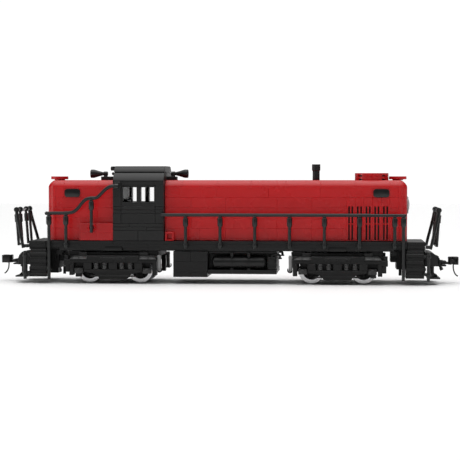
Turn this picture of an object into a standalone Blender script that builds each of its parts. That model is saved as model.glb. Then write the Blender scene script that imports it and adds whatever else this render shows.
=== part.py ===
"""Model diesel road switcher, brick built: short hood, cab, long hood, two bogies with turning wheelsets.

Frame: X runs along the locomotive (+X is the long-hood end), Z is up from the rail, Y is across.
The origin is midway between the bogies at rail level. Sizes below are in millimetres.
"""

import math

import bmesh
import bpy
from mathutils import Matrix, Vector

MM = 0.001

# Brick lattice and clearances
STUD = 8.0
PLATE = 3.2
GAP = 0.3

# Running gear
BOGIE_X = 13 * STUD
AXLE_X = 3 * STUD
WHEEL_R = 12.0
TREAD_R = 11.3
RIM_R = 7.7
WHEEL_BACK_Y = 16.0
FLANGE_Y = 17.4
WHEEL_FACE_Y = 22.0
AXLE_R = 2.0
AXLE_HALF = 28.0
WHEEL_SIDES = 24
GEAR_MODULE = 1.0
GEAR_TEETH = 16
PINION_TEETH = 8
GEAR_Y = (5.0, 9.0)

# Underframe and body heights
DECK_TOP = 40.0
DECK_BOTTOM = 33.6
FRAME_BOTTOM = 30.6
HALF_WIDTH = 32.0
DECK_END = 184.0
HOOD_END = 168.0
HOOD_HALF = 24.0
HOOD_TOP = 96.3
HOOD_ROUND = 6.4
WALL = 4.0
CAB_X = (-104.8, -56.8)
CAB_TOP = 95.5
VENT_X = {"front": -160.9, "rear": 159.9}

# Handrails
RAIL_Y = 36.0
BAR_R = 1.6
POST_R = 1.5
SLEEVE_R = 2.5
LONG_RAIL_Z = 64.2
SHORT_RAIL_Z = 65.5
LONG_POSTS = [-36.0 + 32.0 * i for i in range(7)]
STEP_POST_X = 164.0

RED = ("red_plastic", (0.40, 0.018, 0.020), 0.35, 0.0)
BLACK = ("black_plastic", (0.022, 0.022, 0.024), 0.40, 0.0)
ROOF_GREY = ("roof_plastic", (0.075, 0.075, 0.078), 0.45, 0.0)
WHEEL_GREY = ("wheel_plastic", (0.30, 0.30, 0.31), 0.40, 0.0)
LIGHT_GREY = ("grey_plastic", (0.33, 0.34, 0.34), 0.45, 0.0)
CLEAR = ("clear_plastic", (0.85, 0.88, 0.90), 0.10, 0.0)
STEEL = ("steel", (0.50, 0.50, 0.52), 0.30, 1.0)

SIDES = {"left": -1, "right": 1}
ENDS = {"front": -1, "rear": 1}

for old in list(bpy.data.objects):
    bpy.data.objects.remove(old, do_unlink=True)
parts = bpy.data.collections.new("model_diesel_locomotive")
bpy.context.scene.collection.children.link(parts)


def span(sign, low, high):
    """The range from low to high, mirrored when sign is negative."""
    return (low, high) if sign > 0 else (-high, -low)


def material(spec):
    """A Principled material for one kind of plastic or metal."""
    name, colour, roughness, metallic = spec
    found = bpy.data.materials.get(name)
    if found:
        return found
    made = bpy.data.materials.new(name)
    made.use_nodes = True
    shader = made.node_tree.nodes["Principled BSDF"]
    shader.inputs["Base Color"].default_value = (*colour, 1.0)
    shader.inputs["Roughness"].default_value = roughness
    shader.inputs["Metallic"].default_value = metallic
    return made


def add_object(name, data):
    """An object in the parts collection."""
    obj = bpy.data.objects.new(name, data)
    parts.objects.link(obj)
    return obj


def apply_modifiers(obj):
    """Replace the object's data by its evaluated mesh, with duplicate points merged."""
    bpy.context.view_layer.update()
    graph = bpy.context.evaluated_depsgraph_get()
    mesh = bpy.data.meshes.new_from_object(obj.evaluated_get(graph))
    work = bmesh.new()
    work.from_mesh(mesh)
    bmesh.ops.remove_doubles(work, verts=work.verts, dist=0.0000002)
    work.to_mesh(mesh)
    work.free()
    solid = add_object(obj.name + ".solid", mesh)
    solid.matrix_world = obj.matrix_world
    name = obj.name
    bpy.data.objects.remove(obj, do_unlink=True)
    solid.name = name
    return solid


def box(name, x, y, z):
    """A box between the given x, y and z ranges."""
    work = bmesh.new()
    size = [hi - lo for lo, hi in (x, y, z)]
    centre = [(hi + lo) / 2 for lo, hi in (x, y, z)]
    place = Matrix.Translation(Vector(centre) * MM) @ Matrix.Diagonal([s * MM for s in size] + [1.0])
    bmesh.ops.create_cube(work, size=1.0, matrix=place)
    mesh = bpy.data.meshes.new(name)
    work.to_mesh(mesh)
    work.free()
    return add_object(name, mesh)


def round_edges(obj, radius, segments, chosen):
    """Bevel the edges for which chosen(start, end) is true; the points are given in millimetres."""
    work = bmesh.new()
    work.from_mesh(obj.data)
    edges = [e for e in work.edges if chosen(e.verts[0].co / MM, e.verts[1].co / MM)]
    bmesh.ops.bevel(work, geom=edges, offset=radius * MM, segments=segments, affect="EDGES", profile=0.5)
    work.to_mesh(obj.data)
    work.free()
    return obj


def rod(name, start, end, radius, sides=6):
    """A straight round bar between two points."""
    first = Vector(start) * MM
    last = Vector(end) * MM
    run = last - first
    turn = run.to_track_quat("Z", "Y").to_matrix().to_4x4()
    work = bmesh.new()
    bmesh.ops.create_cone(work, cap_ends=True, segments=sides, radius1=radius * MM, radius2=radius * MM,
                          depth=run.length, matrix=Matrix.Translation((first + last) / 2) @ turn)
    mesh = bpy.data.meshes.new(name)
    work.to_mesh(mesh)
    work.free()
    return add_object(name, mesh)


def tube(name, points, radius):
    """A bent bar: a curve with a round bevel and filled caps, made a mesh."""
    curve = bpy.data.curves.new(name, "CURVE")
    curve.dimensions = "3D"
    curve.bevel_depth = radius * MM
    curve.bevel_resolution = 1
    curve.use_fill_caps = True
    spline = curve.splines.new("POLY")
    spline.points.add(len(points) - 1)
    for point, place in zip(spline.points, points):
        point.co = (*(Vector(place) * MM), 1.0)
    return apply_modifiers(add_object(name, curve))


def plate(name, outline, x=None, y=None):
    """An outline extruded along X (outline in Y and Z) or along Y (outline in X and Z)."""
    low, high = x or y
    curve = bpy.data.curves.new(name, "CURVE")
    curve.dimensions = "2D"
    curve.fill_mode = "BOTH"
    curve.extrude = (high - low) / 2 * MM
    spline = curve.splines.new("POLY")
    spline.points.add(len(outline) - 1)
    for point, (across, up) in zip(spline.points, outline):
        point.co = (across * MM, up * MM, 0.0, 1.0)
    spline.use_cyclic_u = True
    obj = add_object(name, curve)
    middle = (low + high) / 2 * MM
    if x:
        obj.matrix_world = Matrix(((0, 0, 1, middle), (1, 0, 0, 0), (0, 1, 0, 0), (0, 0, 0, 1)))
    else:
        obj.matrix_world = Matrix(((1, 0, 0, 0), (0, 0, -1, middle), (0, 1, 0, 0), (0, 0, 0, 1)))
    solid = apply_modifiers(obj)
    solid.data.transform(solid.matrix_world)
    solid.matrix_world = Matrix.Identity(4)
    return solid


def turned(name, profile, centre, axis="Z", steps=24, phase=0.0):
    """A turned shape: profile points are (radius, distance along the axis), top of the axis first."""
    mesh = bpy.data.meshes.new(name)
    verts = [(radius * MM, 0.0, along * MM) for radius, along in profile]
    closed = profile[0][0] > 0.0
    count = len(verts)
    edges = [(i, (i + 1) % count) for i in range(count if closed else count - 1)]
    mesh.from_pydata(verts, edges, [])
    obj = add_object(name, mesh)
    screw = obj.modifiers.new("Screw", "SCREW")
    screw.steps = steps
    screw.render_steps = steps
    screw.use_merge_vertices = True
    screw.merge_threshold = 0.0000002
    obj = apply_modifiers(obj)
    turns = {"Z": Matrix.Identity(4),
             "X": Matrix.Rotation(math.pi / 2, 4, "Y"),
             "-X": Matrix.Rotation(-math.pi / 2, 4, "Y"),
             "Y": Matrix.Rotation(-math.pi / 2, 4, "X"),
             "-Y": Matrix.Rotation(math.pi / 2, 4, "X")}
    spin = Matrix.Rotation(phase, 4, "Z")
    obj.data.transform(Matrix.Translation(Vector(centre) * MM) @ turns[axis] @ spin)
    return obj


def combine(target, tools, operation):
    """Join or cut solids with exact Booleans, then drop the tools."""
    for tool in tools:
        step = target.modifiers.new("Boolean", "BOOLEAN")
        step.operation = operation
        step.solver = "EXACT"
        step.object = tool
        target = apply_modifiers(target)
        bpy.data.objects.remove(tool, do_unlink=True)
    return target


def join(target, *tools):
    """Union of touching solids."""
    return combine(target, tools, "UNION")


def cut(target, *tools):
    """The target with the tools taken away."""
    return combine(target, tools, "DIFFERENCE")


def empty(name, place, parent=None):
    """An empty on a joint's axis."""
    obj = add_object(name, None)
    obj.parent = parent
    base = world_place(parent)
    obj.location = Vector(place) * MM - base
    return obj


def world_place(obj):
    """The world position of an object placed by its parents' locations."""
    place = Vector((0.0, 0.0, 0.0))
    while obj:
        place += obj.location
        obj = obj.parent
    return place


def finish(obj, name, spec, origin=(0.0, 0.0, 0.0), parent=None):
    """Name a solid, give it its material, and put its origin where it is carried from."""
    obj.name = name
    obj.data.name = name
    obj.data.materials.clear()
    obj.data.materials.append(material(spec))
    base = Vector(origin) * MM
    obj.data.transform(Matrix.Translation(-base))
    obj.parent = parent
    obj.location = base - world_place(parent)
    obj.data.shade_smooth()
    obj.data.set_sharp_from_angle(angle=math.radians(35.0))
    return obj


def arc(centre, radius, start, stop, count):
    """Points of a circular arc, angles in degrees."""
    steps = [math.radians(start + (stop - start) * i / count) for i in range(count + 1)]
    return [(centre[0] + radius * math.cos(a), centre[1] + radius * math.sin(a)) for a in steps]


def smooth_step(start, stop, count):
    """Points of an S-shaped rise from start to stop, both given as (x, z)."""
    rise = []
    for i in range(count + 1):
        t = i / count
        ease = t * t * (3.0 - 2.0 * t)
        rise.append((start[0] + (stop[0] - start[0]) * t, start[1] + (stop[1] - start[1]) * ease))
    return rise


def make_underframe():
    """Deck plate with side sills, inner strip, jacking pads and the bogies' pivot sockets."""
    frame = box("deck", (-HOOD_END + GAP, HOOD_END - GAP), (-HALF_WIDTH, HALF_WIDTH),
                (DECK_BOTTOM, DECK_TOP - GAP))
    strip = box("strip", (-156.0, 156.0), (-28.5, 28.5), (FRAME_BOTTOM, DECK_BOTTOM + 1.0))
    frame = join(frame, strip)
    for x in (-BOGIE_X, BOGIE_X):
        pads = box("pads", (x - STUD, x + STUD), (-HALF_WIDTH - 0.4, HALF_WIDTH + 0.4), (FRAME_BOTTOM, 35.0))
        frame = join(frame, pads)
        frame = cut(frame, rod("socket", (x, 0, 20), (x, 0, 38), 3.4, 12))
    finish(frame, "underframe", BLACK)


def make_platform(end, s):
    """End deck with the pilot, foot boards, coupler pocket with its pin, and the air hose stub."""
    deck = box("platform", span(s, HOOD_END, DECK_END), (-HALF_WIDTH, HALF_WIDTH), (31.8, DECK_TOP - GAP))
    block = box("block", span(s, 158.5, DECK_END + 1.0), (-15.0, 15.0), (17.0, 32.4))
    nose = arc((188.0, 22.0), 8.0, 90.0, 0.0, 5)
    outline = [(183.0, 17.0), (183.0, 30.0)] + nose + [(196.0, 17.0)]
    pilot = plate("pilot", [(s * x, z) for x, z in outline], y=(-HOOD_HALF, HOOD_HALF))
    deck = join(deck, block, pilot)
    for side in (-1, 1):
        board = box("board", span(s, 186.0, 198.0), span(side, 9.0, 28.0), (5.6, 6.9))
        hanger = box("hanger", span(s, 190.0, 192.4), span(side, 17.0, 20.0), (6.2, 18.0))
        deck = join(deck, board, hanger)
    pocket = box("pocket", span(s, 190.0, 205.0), (-6.5, 6.5), (16.0, 21.0))
    deck = join(deck, pocket)
    deck = cut(deck, box("slot", span(s, 195.5, 206.0), (-8.0, 8.0), (17.4, 20.3)))
    deck = join(deck, rod("pin", (s * 200.5, 0, 16.5), (s * 200.5, 0, 20.8), 1.2))
    route = [(192.0, 26.5), (197.2, 23.5), (198.6, 18.5), (200.6, 12.9)]
    hose = tube("hose", [(s * x, -s * 10.0, z) for x, z in route], BAR_R)
    finish(join(deck, hose), f"{end}_platform", BLACK)


def make_steps(end, s, side, t):
    """Corner step unit: treads on a back plate, with the outer grab post clipped to it."""
    treads = [(t * 18.0, 6.4)]
    for level in range(4):
        base = 6.4 + 2 * PLATE * level
        treads += [(t * 35.0, base), (t * 35.0, base + PLATE)]
        treads += [(t * 31.6, base + PLATE), (t * 31.6, base + 2 * PLATE)]
    treads = treads[:-1] + [(t * 31.6, 31.2), (t * 18.0, 31.2)]
    unit = plate("treads", treads, x=span(s, 166.3, 183.0))
    for z in (9.0, 25.0):
        unit = join(unit, box("clip", span(s, 182.0, 186.7), span(t, 33.4, 35.8), (z, z + 2.6)))
    unit = join(unit, rod("post", (s * 186.7, t * RAIL_Y, 4.3), (s * 186.7, t * RAIL_Y, 30.5), POST_R))
    finish(unit, f"{end}_steps_{side}", BLACK)


def make_hood(name, near_cab, end_x):
    """A red hood: a shell open below, its free end and top edges rounded, with number board pads."""
    s = 1 if end_x > 0 else -1
    low, high = sorted((near_cab, end_x))
    shell = box(name, (low, high), (-HOOD_HALF, HOOD_HALF), (DECK_TOP, HOOD_TOP))

    def rounded(a, b):
        top = min(a.z, b.z) > HOOD_TOP - 1.0
        outer = min(s * a.x, s * b.x) > s * end_x - 1.0
        along = abs(a.x - b.x) > 1.0
        return (top and (along or outer)) or (outer and abs(a.z - b.z) > 1.0)

    shell = round_edges(shell, HOOD_ROUND, 4, rounded)
    shell = cut(shell, box("cavity", (low + WALL, high - WALL), (-HOOD_HALF + WALL, HOOD_HALF - WALL),
                           (DECK_TOP - 1.0, HOOD_TOP - WALL)))
    for side in (-1, 1):
        pad = box("board", (s * 144.0 - STUD, s * 144.0 + STUD), span(side, 23.0, 25.6), (80.3, 88.3))
        pad = round_edges(pad, 2.6, 3, lambda a, b: abs(a.y - b.y) > 1.0)
        shell = join(shell, pad)
    return shell


def make_long_hood():
    """Long hood with two rows of grille slots on each side and the small grab handle by the cab."""
    hood = make_hood("long_hood", CAB_X[1] + GAP, HOOD_END)
    for side in (-1, 1):
        for column in range(5):
            for offset in (-1.5, 1.5):
                x = 116.0 + STUD * column + offset
                for z in ((41.0, 55.3), (56.5, 72.0)):
                    slot = box("slot", (x - 0.75, x + 0.75), span(side, 22.4, 25.0), z)
                    hood = cut(hood, slot)
    for side in (-1, 1):
        hood = join(hood, box("base", (-55.5, -48.0), span(side, 23.0, 31.7), (DECK_TOP + GAP, 43.2)))
        bar = box("bar", (-55.5, -48.0), span(side, 28.3, 29.7), (48.0, 49.3))
        for x in (-54.8, -48.7):
            bar = join(bar, box("leg", (x - 0.65, x + 0.65), span(side, 28.35, 29.65), (42.0, 48.6)))
        hood = join(hood, bar)
    finish(hood, "long_hood", RED)


def make_cab():
    """Cab walls with two pairs of side windows, clear panes inside them, and the roof."""
    walls = box("cab", (CAB_X[0] + GAP, CAB_X[1]), (-HALF_WIDTH, HALF_WIDTH), (DECK_TOP, CAB_TOP))
    inside = box("inside", (CAB_X[0] + WALL, CAB_X[1] - WALL), (-HALF_WIDTH + WALL, HALF_WIDTH - WALL),
                 (DECK_TOP - 1.0, CAB_TOP + 1.0))
    windows = [box("window", x, (-40.0, 40.0), (75.8, 89.7)) for x in ((-95.0, -82.3), (-78.5, -65.9))]
    finish(cut(walls, inside, *windows), "cab_body", BLACK)
    for side, t in SIDES.items():
        inner = HALF_WIDTH - WALL
        pane = box("pane", (-98.6, -62.6), span(t, inner - 1.1, inner - GAP), (72.5, 93.0))
        finish(pane, f"cab_window_{side}", CLEAR)
    half = [(32.0, CAB_TOP + GAP), (26.0, 103.2)] + arc((16.0, 99.4), 10.0, 30.0, 90.0, 5)
    outline = half + [(-y, z) for y, z in reversed(half)]
    roof = plate("roof", outline, x=(CAB_X[0] + GAP, CAB_X[1]))
    front = CAB_X[0] + 1.0
    bracket = box("bracket", (front - 7.0, front), (-8.0, 8.0), (105.2, 109.0))
    lamp = box("lamp", (front - 6.4, front), (-4.0, 4.0), (101.0, 103.7))
    finish(join(roof, bracket, lamp), "cab_roof", ROOF_GREY)
    desk = box("desk", (-100.3, -88.3), (-20.0, 6.0), (DECK_TOP + GAP, 74.0))
    outline = [(-99.8, 73.0), (-99.8, 91.0), (-96.0, 91.0), (-96.0, 79.0), (-89.3, 75.6), (-89.3, 73.0)]
    gauge = plate("gauge", outline, y=(-19.0, 5.0))
    finish(join(desk, gauge), "control_stand", LIGHT_GREY)


def make_side_box(side, t):
    """Red box beside the short hood, with the round clip of the middle handrail post."""
    chest = box("chest", (-136.0, CAB_X[0] - GAP), span(t, HOOD_HALF + GAP, HALF_WIDTH), (DECK_TOP, 56.4))
    clip = turned("clip", [(3.9, 2.0), (3.9, 0.0), (2.3, 0.0), (2.3, 2.0)][::-1],
                  (-124.0, t * 31.7, 52.2), "Y" if t > 0 else "-Y", 16)
    finish(join(chest, clip), f"side_box_{side}", RED)


def make_tanks():
    """Fuel tank, air tank tray and the two air tanks."""
    tank = box("tank", (-48.0, -16.0), (-HALF_WIDTH, HALF_WIDTH), (6.5, FRAME_BOTTOM - GAP))
    finish(round_edges(tank, 0.6, 1, lambda a, b: True), "fuel_tank", BLACK)
    tray = box("tray", (-16.0 + GAP, 48.0), (-HALF_WIDTH, HALF_WIDTH), (9.5, 13.4))
    spine = box("spine", (-16.0 + GAP, 48.0), (-18.5, 18.5), (13.0, FRAME_BOTTOM - GAP))
    shelf = box("shelf", (-16.0 + GAP, 48.0), (-27.0, 27.0), (28.4, FRAME_BOTTOM - GAP))
    block = box("block", (39.6, 47.0), (-30.5, 30.5), (13.0, 25.6))
    bend = [(44.0, 24.0), (44.0, 27.0), (51.0, 27.0), (51.0, 23.5)]
    pipes = tube("pipe", [(x, -27.0, z) for x, z in bend], 1.5)
    finish(join(tray, spine, shelf, block, pipes), "air_tank_tray", BLACK)
    for side, t in SIDES.items():
        round_end = [(5.9 * math.sin(math.radians(a)), 23.5 + 2.2 * math.cos(math.radians(a)))
                     for a in (0, 30, 60, 90)]
        profile = round_end + [(r, -z) for r, z in reversed(round_end)]
        finish(turned("tank", profile, (13.0, t * 25.4, 20.0), "X", 14), f"air_tank_{side}", BLACK)


def post_with_sleeve(x, t, bottom, top, lug=True):
    """A handrail post, its sleeve below the rail, and the lug that holds it to the sill."""
    solids = [rod("post", (x, t * RAIL_Y, bottom), (x, t * RAIL_Y, top), POST_R),
              rod("sleeve", (x, t * RAIL_Y, top - 10.7), (x, t * RAIL_Y, top - 2.7), SLEEVE_R)]
    if lug:
        solids.append(box("lug", (x - 1.2, x + 1.2), span(t, HALF_WIDTH + GAP, RAIL_Y), (34.4, 37.8)))
    return solids


def make_long_handrail(side, t):
    """Rail along the long hood, on posts four studs apart, ending in the step post."""
    rail = rod("rail", (-57.5, t * RAIL_Y, LONG_RAIL_Z), (STEP_POST_X + 2.0, t * RAIL_Y, LONG_RAIL_Z), BAR_R)
    solids = []
    for x in LONG_POSTS:
        solids += post_with_sleeve(x, t, 33.2, LONG_RAIL_Z)
    solids += post_with_sleeve(STEP_POST_X, t, 4.3, LONG_RAIL_Z, lug=False)
    holder = box("holder", (-59.0, -56.4), span(t, HALF_WIDTH + GAP, RAIL_Y), (62.8, 65.6))
    finish(join(rail, *solids, holder), f"rear_handrail_{side}", BLACK)


def make_short_handrail(side, t):
    """Rail along the short hood: level, then an S-shaped rise in two stages to the cab."""
    route = [(-167.0, SHORT_RAIL_Z)]
    route += smooth_step((-147.0, SHORT_RAIL_Z), (-127.0, 79.5), 6)
    route += smooth_step((-121.0, 79.8), (-103.5, 90.5), 6)
    route += [(-99.5, 90.5)]
    rail = tube("rail", [(x, t * RAIL_Y, z) for x, z in route], BAR_R)
    solids = post_with_sleeve(-STEP_POST_X, t, 4.3, SHORT_RAIL_Z, lug=False)
    solids += post_with_sleeve(-148.0, t, 33.2, SHORT_RAIL_Z)
    solids += post_with_sleeve(-124.0, t, 47.7, 79.4, lug=False)
    holder = box("holder", (-102.4, -99.0), span(t, HALF_WIDTH + GAP, RAIL_Y), (88.6, 92.2))
    finish(join(rail, *solids, holder), f"front_handrail_{side}", BLACK)


def make_end_railing(end, s):
    """End railing: leaning stanchions, and bars hanging from clips on the cross bar above the gangway."""
    top = 68.6
    cross = rod("cross", (s * 196.5, -30.0, top), (s * 196.5, 30.0, top), 1.3)
    solids = []
    for t in (-1, 1):
        solids.append(rod("lean", (s * 188.6, t * 34.6, 33.2), (s * 196.5, t * 28.0, top), BAR_R))
        solids.append(box("lug", span(s, DECK_END + GAP, 188.8), span(t, 29.0, 34.6), (33.4, 36.6)))
        for y in (12.0, 27.0):
            solids.append(rod("bar", (s * 194.2, t * y, 35.5), (s * 197.0, t * y, top), POST_R))
            solids.append(rod("clip", (s * 196.5, t * y - 2.0, top), (s * 196.5, t * y + 2.0, top), 2.6))
        solids.append(rod("foot", (s * 194.2, t * 28.6, 36.0), (s * 194.2, t * 10.4, 36.0), 1.2))
    finish(join(cross, *solids), f"{end}_railing", BLACK)


def make_roof_gear():
    """Fan housing, vent caps, horns, exhaust stack and headlights."""
    base = HOOD_TOP + GAP
    fan = [(0.0, 102.9), (15.7, 102.9), (15.7, 100.1), (14.7, 99.8), (15.7, 99.5), (15.7, base), (0.0, base)]
    finish(turned("fan", fan, (135.6, 0, 0), "Z", 24), "fan_housing", RED)
    cap = [(0.0, 99.9), (8.2, 99.9), (8.2, 97.2), (5.0, 97.2), (5.0, base), (0.0, base)]
    stack = [(0.0, 111.2), (3.95, 111.2), (3.95, 105.6), (3.35, 104.8), (3.35, base), (0.0, base)]
    finish(turned("stack", stack, (83.6, 0, 0), "Z", 12), "exhaust_stack", BLACK)
    for end, s in ENDS.items():
        finish(turned("cap", cap, (VENT_X[end], 0, 0), "Z", 16), f"{end}_vent_cap", RED)
        lens = [(0.0, 2.8), (4.0, 2.4), (7.0, 1.2), (8.0, 0.9), (8.0, 0.0), (0.0, 0.0)]
        finish(turned("lens", lens, (s * (HOOD_END + GAP), 0, 73.0), "X" if s > 0 else "-X", 16),
               f"{end}_headlight", LIGHT_GREY)
    horns = {"front": (-1, (-120.4, CAB_X[0]), -114.4), "rear": (1, (CAB_X[1] + GAP, -47.9), -53.9)}
    for end, (s, seat, back) in horns.items():
        foot = box("foot", seat, (-4.0, 4.0), (base, 99.8))
        clip = sorted((back + s * 0.6, back + s * 3.8))
        neck = box("neck", clip, (-1.6, 1.6), (99.0, 101.4))
        bell = [(0.0, 16.5), (4.0, 16.5), (3.9, 13.2), (2.3, 7.4), (1.8, 4.6), (1.8, 0.0), (0.0, 0.0)]
        horn = turned("bell", bell, (back, 0, 102.4), "X" if s > 0 else "-X", 12)
        finish(join(foot, neck, horn), f"{end}_horn", BLACK)


def make_battery():
    """Battery pack inside the long hood."""
    pack = box("pack", (0.0, 96.0), (-15.0, 15.0), (DECK_TOP + GAP, 72.0))
    finish(round_edges(pack, 2.0, 2, lambda a, b: abs(a.x - b.x) > 1.0), "battery_pack", ROOF_GREY)


def gear(name, teeth, centre, y, hub_r, phase):
    """A spur gear with straight-sided teeth and running clearance, on an axis along Y."""
    root = GEAR_MODULE * (teeth / 2 - 1.15)
    tip = GEAR_MODULE * (teeth / 2 + 0.75)
    outline = []
    for tooth in range(teeth):
        middle = phase + 2 * math.pi * tooth / teeth
        for radius, half in ((root, -0.86), (tip, -0.24), (tip, 0.24), (root, 0.86)):
            outline.append((radius, middle + half / radius))
    points = [(centre[0] + r * math.cos(a), centre[1] + r * math.sin(a)) for r, a in outline]
    wheel = plate(name, points, y=y)
    if hub_r:
        low = (centre[0], y[0] - 1.0, centre[1])
        high = (centre[0], y[1] + 1.0, centre[1])
        wheel = cut(wheel, rod("bore", low, high, hub_r, 16))
    return wheel


def make_wheelset(end, number, x, parent):
    """Two flanged wheels on one axle; one lower flat of each wheel's rim rests on the rail."""
    flat = WHEEL_R / math.cos(math.pi / WHEEL_SIDES)
    pivot = empty(f"{end}_wheelset_{number}_axis", (x, 0, WHEEL_R), parent)
    axle = rod("axle", (x, -AXLE_HALF, WHEEL_R), (x, AXLE_HALF, WHEEL_R), AXLE_R, 12)
    finish(axle, f"{end}_axle_{number}", STEEL, (x, 0, WHEEL_R), pivot)
    bore = AXLE_R + 0.15
    for side, t in SIDES.items():
        profile = [(bore, WHEEL_FACE_Y - 2.0), (RIM_R, WHEEL_FACE_Y - 2.0), (RIM_R + 0.2, WHEEL_FACE_Y),
                   (TREAD_R, WHEEL_FACE_Y), (TREAD_R + 0.1, FLANGE_Y), (flat, FLANGE_Y - 0.4),
                   (flat, WHEEL_BACK_Y), (bore, WHEEL_BACK_Y)]
        wheel = turned("wheel", profile, (x, 0, WHEEL_R), "Y" if t > 0 else "-Y", WHEEL_SIDES,
                       math.pi / WHEEL_SIDES)
        finish(wheel, f"{end}_wheel_{number}_{side}", WHEEL_GREY, (x, 0, WHEEL_R), pivot)
    return pivot


def make_bogie_frame(end, cx, parent):
    """Bogie top plate with its kingpin, thrust ring and the axle bearings."""
    frame = box("plate", (cx - 42.0, cx + 42.0), (-28.7, 28.7), (25.2, 29.0))
    frame = join(frame, rod("thrust", (cx, 0, 28.0), (cx, 0, 30.2), 9.0, 16),
                 rod("kingpin", (cx, 0, 29.0), (cx, 0, 37.0), 3.0, 10))
    for x in (cx - AXLE_X, cx + AXLE_X):
        for t in (-1, 1):
            frame = join(frame, box("bearing", (x - 5.0, x + 5.0), span(t, 10.5, 14.5), (8.0, 26.0)))
        frame = cut(frame, rod("bore", (x, -16.0, WHEEL_R), (x, 16.0, WHEEL_R), AXLE_R + 0.2, 12))
    finish(frame, f"{end}_bogie_frame", BLACK, (cx, 0, 0), parent)


def make_side_frame(end, cx, inward, side, t, parent):
    """Bogie side frame: stepped outline, spring windows with coils, journal blocks, inner tube."""
    foot = [(27.0, 5.2), (31.0, 7.4), (38.8, 7.9), (38.8, 10.2), (41.0, 10.8)]
    outer = foot + [(41.0, 16.6), (46.0, 17.4), (46.0, 23.0), (40.0, 26.3)]
    inner = foot + [(41.0, 26.3)]
    outline = [(cx + inward * x, z) for x, z in inner] + [(cx - inward * x, z) for x, z in reversed(outer)]
    frame = plate("side", outline, y=span(t, 29.0, RAIL_Y))
    cutters = []
    for sign in (-1, 1):
        x = cx + sign * 12.0
        cutters.append(box("window", (x - STUD, x + STUD), span(t, 32.0, 40.0), (13.4, 19.8)))
        x = cx + sign * 32.0
        cutters.append(box("gap", (x - 4.0, x + 4.0), span(t, 25.0, 40.0), (15.0, 19.2)))
    frame = cut(frame, *cutters)
    for sign in (-1, 1):
        x = cx + sign * 32.0
        frame = join(frame, box("journal", (x - 4.0, x + 4.0), span(t, 35.0, 37.2), (9.5, 14.8)))
        for offset in (8.0, 16.0):
            x = cx + sign * offset
            frame = join(frame, rod("coil", (x, t * 34.0, 12.8), (x, t * 34.0, 20.4), 1.9, 6))
    x = cx + inward * 43.1
    arm = box("arm", sorted((cx + inward * 40.0, x)), span(t, 32.0, 34.0), (22.4, 25.6))
    frame = join(frame, arm, rod("tube", (x, t * 33.0, 11.0), (x, t * 33.0, 26.8), 1.8, 8))
    finish(frame, f"{end}_side_frame_{side}", BLACK, (cx, 0, 0), parent)


def make_drive(cx, pivot, parent):
    """Motor block in the rear bogie, the pinion on its shaft, and the gear on the driven axle."""
    x = cx + AXLE_X
    pinion_x = x - GEAR_MODULE * (GEAR_TEETH + PINION_TEETH) / 2
    motor = box("motor", (cx - 14.0, cx + 20.0), (-9.7, 4.6), (4.5, 24.9))
    motor = round_edges(motor, 2.5, 2, lambda a, b: abs(a.y - b.y) > 1.0)
    motor = cut(motor, rod("bore", (pinion_x, -2.0, WHEEL_R), (pinion_x, 6.0, WHEEL_R), 1.5, 12))
    finish(motor, "drive_motor", STEEL, (cx, 0, 0), parent)
    wheel = gear("gear", GEAR_TEETH, (x, WHEEL_R), GEAR_Y, AXLE_R + 0.15, math.pi)
    finish(wheel, "axle_gear", LIGHT_GREY, (x, 0, WHEEL_R), pivot)
    spin = empty("pinion_axis", (pinion_x, 0, WHEEL_R), parent)
    pinion = gear("pinion", PINION_TEETH, (pinion_x, WHEEL_R), GEAR_Y, None, math.pi / PINION_TEETH)
    shaft = rod("shaft", (pinion_x, -1.0, WHEEL_R), (pinion_x, 7.0, WHEEL_R), 1.2, 12)
    finish(join(pinion, shaft), "motor_pinion", LIGHT_GREY, (pinion_x, 0, WHEEL_R), spin)


def make_bogie(end, s):
    """One four-wheel bogie, swinging about its kingpin."""
    cx = s * BOGIE_X
    pivot = empty(f"{end}_bogie_pivot", (cx, 0, 0))
    make_bogie_frame(end, cx, pivot)
    for side, t in SIDES.items():
        make_side_frame(end, cx, -s, side, t, pivot)
    make_wheelset(end, 1, cx - AXLE_X, pivot)
    outer = make_wheelset(end, 2, cx + AXLE_X, pivot)
    if s > 0:
        make_drive(cx, outer, pivot)


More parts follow.
